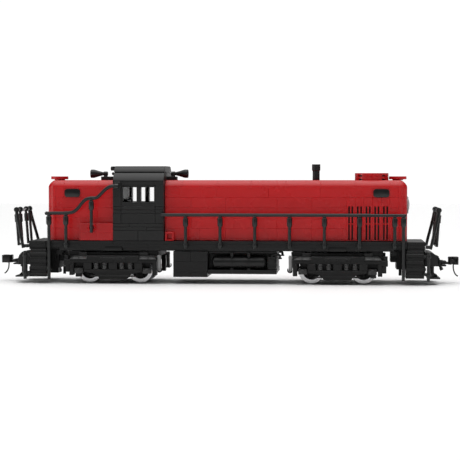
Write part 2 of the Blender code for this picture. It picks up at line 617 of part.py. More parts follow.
def make_coupler(end, s):
    """Coupler head on its swinging shank, and the knuckle that carries the curved trip pin."""
    pin_x = s * 200.5
    pivot = empty(f"{end}_coupler_pivot", (pin_x, 0, 19.0))
    shank = box("shank", span(s, 200.5, 208.0), (-2.4, 2.4), (17.7, 20.0))
    shank = join(shank, rod("eye", (pin_x, 0, 17.7), (pin_x, 0, 20.0), 2.9, 16))
    head = box("head", span(s, 207.0, 210.2), (-5.0, 5.0), (17.5, 24.7))
    guard = box("guard", span(s, 209.0, 216.5), span(s, 2.6, 5.0), (17.5, 24.7))
    knuckle_side = span(-s, 1.8, 5.0)
    lug = box("lug", span(s, 209.6, 212.2), knuckle_side, (19.6, 22.4))
    boss = rod("boss", (s * 212.2, -s * 3.4, 19.6), (s * 212.2, -s * 3.4, 22.4), 1.7, 12)
    head = join(shank, head, guard, lug, boss)
    head = cut(head, rod("eye", (pin_x, 0, 16.0), (pin_x, 0, 22.0), 1.5, 12),
               rod("bore", (s * 212.2, -s * 3.4, 16.0), (s * 212.2, -s * 3.4, 26.0), 0.95, 10))
    finish(head, f"{end}_coupler", BLACK, (pin_x, 0, 19.0), pivot)
    axis = (s * 212.2, -s * 3.4, 19.0)
    hinge = empty(f"{end}_knuckle_pivot", axis, pivot)
    nose = box("nose", span(s, 214.3, 216.5), span(-s, -0.8, 5.0), (17.5, 24.7))
    arms = [box("arm", span(s, 211.4, 215.0), knuckle_side, z) for z in ((17.5, 19.3), (22.7, 24.7))]
    pin = rod("pin", (axis[0], axis[1], 18.0), (axis[0], axis[1], 24.0), 0.65, 8)
    curve = [(211.6, 18.0), (211.6, 14.5), (212.2, 11.6), (213.6, 8.9), (215.9, 6.7)]
    trip = tube("trip", [(s * x, -s * 3.4, z) for x, z in curve], 0.65)
    finish(join(nose, *arms, pin, trip), f"{end}_knuckle", BLACK, axis, hinge)


make_underframe()
for end_name, direction in ENDS.items():
    make_platform(end_name, direction)
    for side_name, toward in SIDES.items():
        make_steps(end_name, direction, side_name, toward)
    make_end_railing(end_name, direction)
    make_bogie(end_name, direction)
    make_coupler(end_name, direction)
finish(make_hood("short_hood", CAB_X[0], -HOOD_END), "short_hood", RED)
make_long_hood()
make_cab()
make_tanks()
make_roof_gear()
make_battery()
for side_name, toward in SIDES.items():
    make_side_box(side_name, toward)
    make_long_handrail(side_name, toward)
    make_short_handrail(side_name, toward)
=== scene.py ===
"""Looks of the model diesel road switcher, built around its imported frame. Lengths are in millimetres."""

import math

import bmesh
import bpy
from mathutils import Matrix, Vector


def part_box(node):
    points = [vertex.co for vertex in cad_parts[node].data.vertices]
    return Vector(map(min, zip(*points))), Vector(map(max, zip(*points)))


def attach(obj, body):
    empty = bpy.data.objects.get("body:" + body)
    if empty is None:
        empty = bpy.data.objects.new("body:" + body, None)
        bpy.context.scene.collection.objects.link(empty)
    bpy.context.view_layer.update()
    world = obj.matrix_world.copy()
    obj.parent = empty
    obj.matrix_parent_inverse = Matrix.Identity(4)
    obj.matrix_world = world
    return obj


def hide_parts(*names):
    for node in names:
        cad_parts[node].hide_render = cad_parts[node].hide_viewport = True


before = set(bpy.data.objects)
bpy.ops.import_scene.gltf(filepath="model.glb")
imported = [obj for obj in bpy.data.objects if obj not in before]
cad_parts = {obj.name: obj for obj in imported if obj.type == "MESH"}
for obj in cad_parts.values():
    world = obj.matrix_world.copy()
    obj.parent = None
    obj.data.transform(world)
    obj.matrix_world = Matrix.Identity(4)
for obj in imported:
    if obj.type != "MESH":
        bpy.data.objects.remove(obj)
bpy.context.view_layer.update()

MM = 0.001
EDGE = 0.12
SEAM = 0.02
STUD = 8
PLATE = 3.2
BRICK = 9.6

SIDES = {"left": -1, "right": 1}
ENDS = {"front": -1, "rear": 1}


def node_box(name):
    """A CAD node's corners in millimetres."""
    low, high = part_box(name)
    return Vector(low) / MM, Vector(high) / MM


def span(sign, low, high):
    """The range from low to high, mirrored when sign is negative."""
    return (low, high) if sign > 0 else (-high, -low)


# Driving dimensions, read from the frame
DECK_LOW, DECK_HIGH = node_box("underframe")
HOOD_LOW, HOOD_HIGH = node_box("long_hood")
SHORT_LOW, SHORT_HIGH = node_box("short_hood")
CAB_LOW, CAB_HIGH = node_box("cab_body")
ROOF_LOW, ROOF_HIGH = node_box("cab_roof")
TANK_LOW, TANK_HIGH = node_box("fuel_tank")
TRAY_LOW, TRAY_HIGH = node_box("air_tank_tray")
FAN_LOW, FAN_HIGH = node_box("fan_housing")
STACK_LOW, STACK_HIGH = node_box("exhaust_stack")

HOOD_END = HOOD_HIGH.x
HOOD_TOP = HOOD_HIGH.z
HOOD_BASE = 40.3
HOOD_HALF = 24
HOOD_ROUND = 6.4
END_BRICK = 160
GRILLE = (112, 152)
CAB_X = CAB_HIGH.x - 6 * STUD
WINDOWS = ((-95, -82.3), (-78.5, -65.9))
SILL_BASE = 33.6
PLATFORM_X = 168
DECK_END = 184
GRAB_POST_X = 186.7
COUPLER_PIN_X = 200.5
RAIL_Y = 36
BAR_R = 1.6
POST_R = 1.5
BOGIE_X = 104
AXLE_X = 24
WHEEL_R = 12
STEP_POST_X = 164


# Materials

WHITE = (1, 1, 1, 1)


class Graph:
    """The node tree of a material or a world."""

    def __init__(self, owner):
        owner.use_nodes = True
        self.owner = owner
        self.nodes = owner.node_tree.nodes

    def feed(self, node, inputs):
        """Set each of a node's inputs to a value, or link it where a socket is given."""
        for key, value in inputs.items():
            if isinstance(value, bpy.types.NodeSocket):
                self.owner.node_tree.links.new(value, node.inputs[key])
            else:
                node.inputs[key].default_value = value

    def add(self, kind, inputs=None, **properties):
        """Make a node, with its properties and then its inputs set, and give its outputs."""
        made = self.nodes.new("ShaderNode" + kind)
        for key, value in properties.items():
            setattr(made, key, value)
        self.feed(made, inputs or {})
        return made.outputs

    def math(self, operation, *values):
        """The result of an operation on values or sockets."""
        return self.add("Math", dict(enumerate(values)), operation=operation)[0]

    def spread(self, source, low, high):
        """A value from 0 to 1 stretched over another range."""
        return self.add("MapRange", {"Value": source, "To Min": low, "To Max": high})["Result"]

    def ramp(self, source, *stops):
        """A colour ramp of two stops, each a position and a colour."""
        made = self.nodes.new("ShaderNodeValToRGB")
        for element, (position, colour) in zip(made.color_ramp.elements, stops):
            element.position = position
            element.color = (*colour, 1)
        self.feed(made, {"Fac": source})
        return made.outputs["Color"]

    def shade(self, inputs):
        """Set the surface shader's inputs and give the finished material."""
        self.feed(self.nodes["Principled BSDF"], inputs)
        return self.owner


def tinted(colour, factor, lift=0):
    """A colour made lighter or darker."""
    return [min(1, c * factor + lift) for c in colour]


def plastic(name, colour, roughness, ior=1.46, metallic=0):
    """Moulded plastic: slight tone changes from brick to brick, soft smudges, fine skin and painted
    highlights on the sharp edges.
    """
    graph = Graph(bpy.data.materials.new(name))
    place = graph.add("TexCoord")["Object"]
    surface = graph.add("NewGeometry")
    smudge = graph.add("TexNoise", {"Scale": 38, "Detail": 4, "Vector": place})["Fac"]
    brick_share = 0.35
    tone = graph.math("MULTIPLY_ADD", surface["Random Per Island"], brick_share, smudge)
    base = graph.ramp(tone, (0.3, tinted(colour, 0.93)), (1, tinted(colour, 1.07)))
    # Painted highlight: sharp outer edges, found by pointiness, are mixed towards a paler colour as if they
    # caught the light.
    edges = graph.ramp(surface["Pointiness"], (0.54, (0, 0, 0)), (0.62, (1, 1, 1)))
    edge_highlight_share = 0.22
    highlit_base = graph.add("Mix", {"Factor": graph.math("MULTIPLY", edges, edge_highlight_share), "A": base,
                             "B": (*tinted(colour, 1.5, 0.015), 1)}, data_type="RGBA")["Result"]
    skin = graph.add("TexNoise", {"Scale": 2400, "Detail": 2, "Vector": place})["Fac"]
    bump = graph.add("Bump", {"Strength": 0.35, "Distance": 0.01 * MM, "Height": skin})["Normal"]
    return graph.shade({"IOR": ior, "Metallic": metallic, "Base Color": highlit_base, "Normal": bump,
                              "Roughness": graph.spread(smudge, roughness * 0.82, roughness * 1.22)})


def metal(name, colour, roughness):
    """Drawn metal with fine lengthwise lines."""
    graph = Graph(bpy.data.materials.new(name))
    place = graph.add("TexCoord")["Object"]
    stretch = graph.add("Mapping", {"Scale": (900, 60, 900), "Vector": place})["Vector"]
    lines = graph.add("TexNoise", {"Scale": 1, "Detail": 3, "Vector": stretch})["Fac"]
    return graph.shade({
        "Metallic": 1, "Base Color": graph.ramp(lines, (0, tinted(colour, 0.8)), (1, tinted(colour, 1.2))),
        "Roughness": graph.spread(lines, roughness * 0.7, roughness * 1.3)})


def clear_plastic(name):
    """Clear moulded pane with a faint unevenness in its gloss."""
    graph = Graph(bpy.data.materials.new(name))
    haze = graph.add("TexNoise", {"Scale": 90})["Fac"]
    return graph.shade({"Base Color": (0.97, 0.98, 0.98, 1), "IOR": 1.1, "Transmission Weight": 1,
                              "Alpha": 0.07, "Roughness": graph.spread(haze, 0.01, 0.05)})


RED = plastic("red_abs", (0.46, 0.005, 0.007), 0.27, 1.42)
# Painted shade: a darker copy of the hood red, used for the side boxes.
SHADED_RED = plastic("shaded_red_abs", (0.35, 0.004, 0.006), 0.30, 1.42)
BLACK = plastic("black_abs", (0.009, 0.009, 0.009), 0.34, 1.38)
FRAME_BLACK = plastic("frame_black_abs", (0.0045, 0.0045, 0.0045), 0.38, 1.36)
SOFT_BLACK = plastic("soft_black", (0.008, 0.009, 0.009), 0.30, 1.44)
# Painted shade: black plastic made darker than the other blacks, for parts in recesses, behind openings and
# under the body.
SHADED_BLACK = plastic("shaded_black", (0.003, 0.003, 0.003), 0.50, 1.36)
MID_GREY = plastic("mid_grey_abs", (0.022, 0.022, 0.022), 0.36)
ROOF = plastic("roof_charcoal", (0.005, 0.005, 0.005), 0.38, 1.39)
WHEEL_GREY = plastic("wheel_grey", (0.80, 0.80, 0.81), 0.30, metallic=0.7)
LIGHT_GREY = plastic("light_grey_abs", (0.33, 0.34, 0.34), 0.38)
SPRING_GREY = plastic("spring_grey", (0.06, 0.06, 0.06), 0.36)
TUBE_GREY = plastic("tube_grey", (0.22, 0.22, 0.22), 0.38)
LENS = plastic("lamp_lens", (0.62, 0.63, 0.63), 0.12)
STEEL = metal("drawn_steel", (0.50, 0.50, 0.52), 0.32)
CHAIN = metal("chain_metal", (0.42, 0.42, 0.43), 0.35)
CLEAR = clear_plastic("clear_pane")


# Modelling helpers

def link(obj):
    """Put an object in the scene."""
    bpy.context.scene.collection.objects.link(obj)
    return obj


def arc(centre, radius, start, stop, count):
    """Points of a circular arc, angles in degrees."""
    steps = [math.radians(start + (stop - start) * i / count) for i in range(count + 1)]
    return [(centre[0] + radius * math.cos(a), centre[1] + radius * math.sin(a)) for a in steps]


def flipped(s, t, points):
    """Flat points with their coordinates mirrored by the two signs."""
    return [(s * a, t * b) for a, b in points]


def cube(work, x, y, z):
    """A plain box added to a mesh."""
    centre = [(hi + lo) / 2 for lo, hi in (x, y, z)]
    size = Matrix.Diagonal((*[hi - lo for lo, hi in (x, y, z)], 1))
    return bmesh.ops.create_cube(work, size=1, matrix=Matrix.Translation(centre) @ size)["verts"]


class Shape:
    """Solids gathered in one mesh, in millimetres."""

    def __init__(self):
        self.mesh = bmesh.new()

    def soften(self, verts, edge, segments=1, least=30):
        """Round the sharp edges between the given points."""
        found = {e for v in verts if v.is_valid for e in v.link_edges}
        sharp = [e for e in found if e.calc_face_angle(0) > math.radians(least)]
        if sharp and edge > 0:
            bmesh.ops.bevel(self.mesh, geom=sharp, offset=edge, segments=segments, affect="EDGES",
                            profile=0.5, clamp_overlap=True)

    def block(self, x, y, z, edge=EDGE, segments=1):
        """A box with softened edges."""
        self.soften(cube(self.mesh, x, y, z), edge, segments)
        return self

    def row(self, x_marks, y, z, edge=EDGE):
        """Bricks laid end to end between the marks along X, with a fine seam between them."""
        for low, high in zip(x_marks, x_marks[1:]):
            self.block((low + SEAM, high - SEAM), y, (z[0] + SEAM, z[1] - SEAM), edge)
        return self

    def bridge(self, rings, closed=False, capped=False):
        """Faces from each ring of points to the next; a ring of one point is a tip."""
        faces = [self.mesh.faces.new(ring) for ring in (rings[0], rings[-1]) if capped]
        for first, second in zip(rings, rings[1:] + rings[:1] if closed else rings[1:]):
            sides = max(len(first), len(second))
            for i in range(sides):
                j = (i + 1) % sides
                corners = (first[i % len(first)], second[i % len(second)], second[j % len(second)],
                           first[j % len(first)])
                faces.append(self.mesh.faces.new(dict.fromkeys(corners)))
        bmesh.ops.recalc_face_normals(self.mesh, faces=faces)
        return self

    def prism(self, outline, along, low, high, edge=EDGE, segments=1):
        """An outline pushed along one axis. Its points are the other two coordinates, in X, Y, Z order."""
        at = "XYZ".index(along)
        rings = [[self.mesh.verts.new((*point[:at], depth, *point[at:])) for point in outline]
                 for depth in (low, high)]
        self.bridge(rings, capped=True)
        self.soften(rings[0] + rings[1], edge, segments)
        return self

    def lathe(self, profile, centre, axis=(0, 0, 1), sides=32, ring=False):
        """A turned solid from points of radius and distance along the axis; a ring's profile is closed."""
        turn = Vector(axis).to_track_quat("Z", "Y").to_matrix()
        rings = []
        for radius, along in profile:
            points = arc((0, 0), radius, 0, 360, sides)[:sides if radius > 1e-6 else 1]
            rings.append([self.mesh.verts.new(Vector(centre) + turn @ Vector((*p, along))) for p in points])
        return self.bridge(rings, ring)

    def disc(self, radius, low, high, centre, axis=(0, 0, 1), sides=20, rim=(0, 0)):
        """A round plug between two distances along its axis, its far rim cut back by two measures."""
        edge = [(radius - rim[0], high), (radius, high - rim[1])] if any(rim) else [(radius, high)]
        return self.lathe([(0, high), *edge, (radius, low), (0, low)], centre, axis, sides)

    def collar(self, outer, inner, half, centre, axis=(0, 0, 1), sides=20, rim=(0, 0)):
        """A ring that reaches as far both ways along its axis, its outer rims cut back by two measures."""
        edge = [(outer - rim[0], half), (outer, half - rim[1])] if any(rim) else [(outer, half)]
        edge += [(r, -along) for r, along in reversed(edge)]
        return self.lathe([*edge, (inner, -half), (inner, half)], centre, axis, sides, ring=True)

    def pipe(self, points, radius, sides=14, closed=False):
        """A round bar along the points."""
        points = [Vector(p) for p in points]
        last = len(points) - 1
        normal = None
        rings = []
        for i, point in enumerate(points):
            before = points[i - 1] if closed or i > 0 else point
            after = points[(i + 1) % (last + 1)] if closed or i < last else point
            run = (after - before).normalized()
            normal = normal or run.orthogonal().normalized()
            normal = (normal - run * normal.dot(run)).normalized()
            across = run.cross(normal)
            rings.append([self.mesh.verts.new(point + normal * a + across * b)
                          for a, b in arc((0, 0), radius, 0, 360, sides)[:sides]])
        return self.bridge(rings, closed, capped=not closed)

    def ball(self, centre, radius, sides=12):
        """A small round knob."""
        return self.lathe([(b, a) for a, b in arc((0, 0), radius, 0, 180, sides // 2)], centre, sides=sides)

    def sector(self, centre, inner, outer, turn, z, edge=EDGE):
        """Part of a flat ring about an upright axis, between two angles in degrees."""
        count = max(2, round((turn[1] - turn[0]) / 6))
        outline = arc(centre, outer, *turn, count) + arc(centre, inner, turn[1], turn[0], count)
        return self.prism(outline, "Z", *z, edge)

    def hull(self, points, edge=EDGE):
        """The solid that wraps the points."""
        corners = [self.mesh.verts.new(p) for p in points]
        bmesh.ops.convex_hull(self.mesh, input=corners)
        self.soften(corners, edge)
        return self

    def add(self, other):
        """Take in another mesh's solids."""
        carrier = bpy.data.meshes.new("carrier")
        other.to_mesh(carrier)
        self.mesh.from_mesh(carrier)
        bpy.data.meshes.remove(carrier)
        return self

    def build(self, name, material):
        """Turn the gathered solids into one object."""
        data = bpy.data.meshes.new(name)
        bmesh.ops.scale(self.mesh, vec=(MM, MM, MM), verts=self.mesh.verts)
        self.mesh.to_mesh(data)
        self.mesh.free()
        data.materials.append(material)
        data.shade_smooth()
        data.set_sharp_from_angle(angle=math.radians(34))
        return link(bpy.data.objects.new(name, data))

    def piece(self, name, material, body="frame", replaces=None):
        """Make the finished object, riding on a body and standing for its CAD node."""
        obj = self.build(name, material)
        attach(obj, body)
        if replaces:
            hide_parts(replaces)


def smooth(points, per_span=6):
    """A smooth curve through the points."""
    points = [Vector(p) for p in points]
    ends = [points[0] * 2 - points[1]] + points + [points[-1] * 2 - points[-2]]
    made = []
    for i in range(len(points) - 1):
        a, b, c, d = ends[i:i + 4]
        for k in range(per_span):
            t = k / per_span
            made.append(0.5 * ((2 * b) + (c - a) * t + (2 * a - 5 * b + 4 * c - d) * t * t
                               + (3 * b - a - 3 * c + d) * t ** 3))
    return made + [points[-1]]


def rounded_cube(x, y, z, radius, chosen, roundness):
    """A box whose chosen edges are rounded, as its own mesh."""
    work = bmesh.new()
    cube(work, x, y, z)
    edges = [e for e in work.edges if chosen(e.verts[0].co, e.verts[1].co)]
    bmesh.ops.bevel(work, geom=edges, offset=radius, segments=10, affect="EDGES", profile=roundness)
    return work


def carve(shape, base, x, y, z):
    """One brick cut out of a larger solid by flat planes; None leaves that side as it is."""
    part = base.copy()
    for axis, limits in enumerate((x, y, z)):
        for level, sign in zip(limits, (-1, 1)):
            if level is None:
                continue
            normal = Vector([sign if i == axis else 0 for i in range(3)])
            everything = part.verts[:] + part.edges[:] + part.faces[:]
            bmesh.ops.bisect_plane(part, geom=everything, dist=1e-5, plane_co=normal * (sign * level - SEAM),
                                   plane_no=normal, clear_outer=True)
            bmesh.ops.holes_fill(part, edges=[e for e in part.edges if e.is_boundary], sides=0)
    sharp = [e for e in part.edges if e.calc_face_angle(0) > math.radians(50)]
    bmesh.ops.bevel(part, geom=sharp, offset=EDGE, segments=1, affect="EDGES", profile=0.5,
                    clamp_overlap=True)
    shape.add(part)
    part.free()


# Underframe and platforms

def make_underframe():
    """Deck of plates with its side sills, the narrower strip below, and the jacking pads."""
    deck = Shape()
    ends = DECK_LOW.x, DECK_HIGH.x
    upper = [ends[0], -104, -40, 24, 88, 152, ends[1]]
    lower = [ends[0], -136, -72, -8, 56, 120, ends[1]]
    top = DECK_HIGH.z
    for t in (-1, 1):
        deck.row(upper, span(t, 24, 32), (top - 2.9, top))
        deck.row(lower, span(t, 24, 32), (SILL_BASE, top - 2.9))
    deck.block(ends, (-23.9, 23.9), (SILL_BASE, top))
    deck.piece("deck_plates", FRAME_BLACK, replaces="underframe")

    strip = Shape()
    marks = [-156 + 48 * i for i in range(7)] + [156]
    for t in (-1, 1):
        strip.row(marks, span(t, 16, 28.5), (DECK_LOW.z, SILL_BASE))
    strip.block((-156, 156), (-15.9, 15.9), (DECK_LOW.z + 0.1, 33.5))
    strip.piece("frame_strip", BLACK)

    pads = Shape()
    for x in (-BOGIE_X, BOGIE_X):
        for t in (-1, 1):
            pads.block((x - STUD, x + STUD), span(t, 28.6, 32.4), (DECK_LOW.z, 35), 0.4, 2)
            for dx in (-4, 4):
                pads.disc(1.7, -0.4, 0.35, (x + dx, t * 32, 32.6), (0, t, 0), 16, (0.2, 0.2))
    pads.piece("jacking_pads", FRAME_BLACK)


def make_platform(end, s):
    """End deck of stacked plates, pilot with its curved brow, foot boards, coupler pocket and hose."""
    deck = Shape()
    top = DECK_HIGH.z
    for t in (-1, 1):
        deck.row(sorted((s * 168, s * 176, s * DECK_END)), span(t, 16.05, 32), (top - 2.9, top))
        deck.row(span(s, 168, DECK_END), span(t, 8.05, 32), (top - 6.1, top - 2.9))
        deck.block(span(s, 168.1, 183.6), span(t, 8.05, 31.6), (31.8, top - 6.2))
    deck.row(span(s, 168, DECK_END), (-16, 16), (top - 2.9, top))
    deck.block(span(s, 168.1, DECK_END), (-8, 8), (31.8, top - 3))
    deck.piece(f"{end}_deck", FRAME_BLACK, replaces=f"{end}_platform")

    pilot = Shape()
    brow = arc((188, 22), 8, 90, 0, 10)
    face = [(184.2, 17), (184.2, 30)] + brow + [(196, 17)]
    outline = flipped(s, 1, face)
    for y in ((-24, -12.05), (-11.95, 11.95), (12.05, 24)):
        pilot.prism(outline, "Y", y[0], y[1], 0.3)
    pilot.piece(f"{end}_pilot", BLACK)
    # Painted shade: the beam under the pilot takes the darkest black.
    beam = Shape()
    beam.block(span(s, 158.5, 184), (-15, 15), (13.4, 31.6))
    beam.block(span(s, 153.2, 158.6), (-12, 12), (20, 31.2))
    beam.block(span(s, 153.6, 158.4), (-27.5, 27.5), (26.7, 31))
    beam.block(span(s, 156.4, PLATFORM_X), (-27.5, 27.5), (31.7, 33.5))
    for x in (162, 170, 178):
        beam.block(span(s, x - 0.8, x + 0.8), (-15.4, 15.4), (17.4, 31.4))
    beam.piece(f"{end}_frame_beam", SHADED_BLACK)

    boards = Shape()
    for t in (-1, 1):
        boards.block(span(s, 186, 198), span(t, 9, 28), (5.6, 6.9), 0.3)
        for k in range(8):
            x = 187.2 + 1.4 * k
            boards.block(span(s, x - 0.35, x + 0.35), span(t, 9.6, 27.4), (6.8, 7.15), 0.1)
        for y in (11, 17, 23.5):
            boards.block(span(s, 190, 192.4), span(t, y, y + 1.8), (6.6, 17.2), 0.25)
        brace = flipped(s, 1, [(192, 6.8), (196.5, 6.8), (192, 12)])
        boards.prism(brace, "Y", *span(t, 17, 18.8), 0.15)
    boards.piece(f"{end}_foot_boards", FRAME_BLACK)

    pocket = Shape()
    pocket.block(span(s, 190, 205), (-6.5, 6.5), (16, 17.3), 0.25)
    pocket.block(span(s, 190, 205), (-6.5, 6.5), (20.4, 21), 0.15)
    pocket.block(span(s, 190, 195.4), (-6.4, 6.4), (17.2, 20.5), 0.1)
    pocket.lathe([(0, 21.7), (1.6, 21.7), (1.9, 21.3), (1.9, 20.9), (1.2, 20.8), (1.2, 16.2), (0, 16.2)],
                 (s * 200.5, 0, 0), sides=20)
    pocket.piece(f"{end}_coupler_pocket", FRAME_BLACK)

    hose = Shape()
    y = -s * 10
    drop = [(192, 26.5), (196, 25.2), (197.8, 21.5), (198.6, 17.5), (200.6, 12.9)]
    route = smooth([(s * x, y, z) for x, z in drop], 5)
    hose.pipe(route, 1.25, 12)
    for i in range(6, len(route) - 1, 2):
        run = (route[i + 1] - route[i - 1]).normalized()
        hose.collar(1.5, 1.1, 0.25, route[i], run, 14)
    tip = (route[-1] - route[-2]).normalized()
    hose.disc(1.6, -2.4, 0, route[-1], tip, 16)
    hose.piece(f"{end}_air_hose", SOFT_BLACK)


def make_steps(end, s, side, t):
    """Corner steps: ribbed treads between two cheeks, and the outer grab post in its clips."""
    low = node_box(f"{end}_steps_{side}")[0]
    x = span(s, 166.3, 183)
    unit = Shape()
    unit.block(x, span(t, 18, 31.4), (low.z + 2.1, 31.2))
    for level in range(4):
        base = 6.4 + 2 * PLATE * level
        unit.block(x, span(t, 26, 35), (base, base + PLATE - 0.1), 0.3)
        unit.block(span(s, 167.3, 182), span(t, 30, 34), (base + PLATE, base + 2 * PLATE - 0.1), 0.2)
        for k in range(5):
            y = 27.4 + 1.55 * k
            unit.block(span(s, 167.2, 182.1), span(t, y, y + 0.7),
                       (base + PLATE - 0.3, base + PLATE + 0.1), 0.1)
    unit.piece(f"{end}_treads_{side}", FRAME_BLACK, replaces=f"{end}_steps_{side}")
    post = Shape()
    post.pipe([(s * GRAB_POST_X, t * RAIL_Y, 4.3), (s * GRAB_POST_X, t * RAIL_Y, 30.5)], POST_R)
    for z in (9, 25):
        post.block(span(s, 182.6, GRAB_POST_X), span(t, 33.4, 35.6), (z, z + 2.6), 0.25)
        post.collar(2.3, 1.4, 1.2, (s * GRAB_POST_X, t * RAIL_Y, z + 1.3), rim=(0.1, 0.3))
    post.piece(f"{end}_step_post_{side}", SOFT_BLACK)


# Hoods

COURSES = [HOOD_TOP - HOOD_ROUND - BRICK * i for i in range(6)]

LONG_SEAMS = [
    [-8, 40, 88, 136],
    [-32, 0, 48, 80, *GRILLE],
    [-24, 0, 48, 80, *GRILLE],
    [-32, 8, 48, 80, *GRILLE],
    [-24, 0, 48, 80, *GRILLE],
    [-8, 48, *GRILLE],
]
SHORT_SEAMS = [[-120, -152], [-136]] * 3


def hood_solid(s, low, high):
    """The full outside of a hood: free end and top edges rounded."""
    def rounded(a, b):
        top = min(a.z, b.z) > HOOD_TOP - 1
        outer = min(s * a.x, s * b.x) > HOOD_END - 1
        along = abs(a.x - b.x) > 1
        return (top and (along or outer)) or (outer and abs(a.z - b.z) > 1)

    return rounded_cube((low, high), (-HOOD_HALF, HOOD_HALF), (HOOD_BASE, HOOD_TOP), HOOD_ROUND, rounded, 0.4)


def make_hood_shell(name, s, low, high, seams, top_marks, node):
    """Courses of bricks along both sides, the rounded end wall, and the curved top pieces."""
    base = hood_solid(s, low, high)
    bricks = Shape()
    for course, marks in enumerate(seams):
        z = (COURSES[course + 1] if course + 1 < len(COURSES) else None, COURSES[course])
        walls = [None] + marks + [s * END_BRICK]
        for a, b in zip(walls, walls[1:]):
            if (a, b) == GRILLE:
                continue
            for y in ((None, -16), (16, None)):
                carve(bricks, base, (a, b) if s > 0 else (b, a), y, z)
        carve(bricks, base, (END_BRICK, None) if s > 0 else (None, -END_BRICK), (None, None), z)
    marks = [None] + top_marks + [None]
    for x in zip(marks, marks[1:]):
        for y in ((None, -8), (-8, 8), (8, None)):
            carve(bricks, base, x, y, (COURSES[0], None))
    bricks.piece(name, RED, replaces=node)
    base.free()


def make_grille():
    """Radiator grille: columns one stud wide, each with two slots in two rows."""
    grille = Shape()
    # Painted shade: a sheet of the darkest black fills the view through the grille slots.
    dark = Shape()
    for t in (-1, 1):
        for column in range(5):
            x = 116 + STUD * column
            for low, high in ((41, 55.3), (56.5, 72)):
                for edge, width in ((-3.125, 1.75), (0, 1.5), (3.125, 1.75)):
                    bar = (x + edge - width / 2, x + edge + width / 2)
                    grille.block(bar, span(t, 22.2, 24), (low - 0.3, high + 0.3), 0.15)
            for low, high in ((HOOD_BASE, 40.9), (55.4, 56.4), (72.1, 80.2)):
                grille.block((x - 3.95, x + 3.95), span(t, 16, 24), (low + SEAM, high - SEAM), 0.15)
        dark.block((112.1, 151.9), span(t, 20.4, 22), (HOOD_BASE, 72), 0.1)
    grille.piece("grille_bars", RED)
    dark.piece("grille_core", SHADED_BLACK)


def make_number_boards():
    """Rounded black tiles high on the hood sides, left blank."""
    for end, s in ENDS.items():
        for side, t in SIDES.items():
            board = Shape()
            outline = []
            for dx, dz, start in ((4.8, 1.3, 0), (-4.8, 1.3, 90), (-4.8, -1.3, 180), (4.8, -1.3, 270)):
                outline += arc((s * 144 + dx, 84.3 + dz), 2.55, start, start + 90, 6)
            board.prism(outline, "Y", *span(t, 24.1, 25.6), 0.35, 2)
            board.piece(f"{end}_number_board_{side}", SOFT_BLACK)


def make_grab_handles():
    """Small red handles on the walkway beside the cab: a square bar on two posts."""
    low, high = CAB_HIGH.x + 0.9, CAB_HIGH.x + 9.2
    handles = Shape()
    for t in (-1, 1):
        handles.block((low + 0.3, high), span(t, 24.1, 31.7), (HOOD_BASE, 41))
        handles.block((low, high), span(t, 28, 29.9), (46.6, 48.4), 0.3)
        for x in ((low + 0.1, low + 1.8), (high - 1.8, high - 0.1)):
            handles.block(x, span(t, 28.1, 29.8), (40.9, 46.8), 0.2)
    handles.piece("cab_grab_handles", RED)


def make_hoods():
    """Both hoods with everything fixed to them."""
    long_marks = [152 - 32 * i for i in range(6, -1, -1)]
    make_hood_shell("long_hood_bricks", 1, HOOD_LOW.x, HOOD_END, LONG_SEAMS, long_marks, "long_hood")
    make_hood_shell("short_hood_bricks", -1, SHORT_LOW.x, SHORT_HIGH.x, SHORT_SEAMS, [-152, -120],
                    "short_hood")
    make_grille()
    make_number_boards()
    make_grab_handles()


# Cab

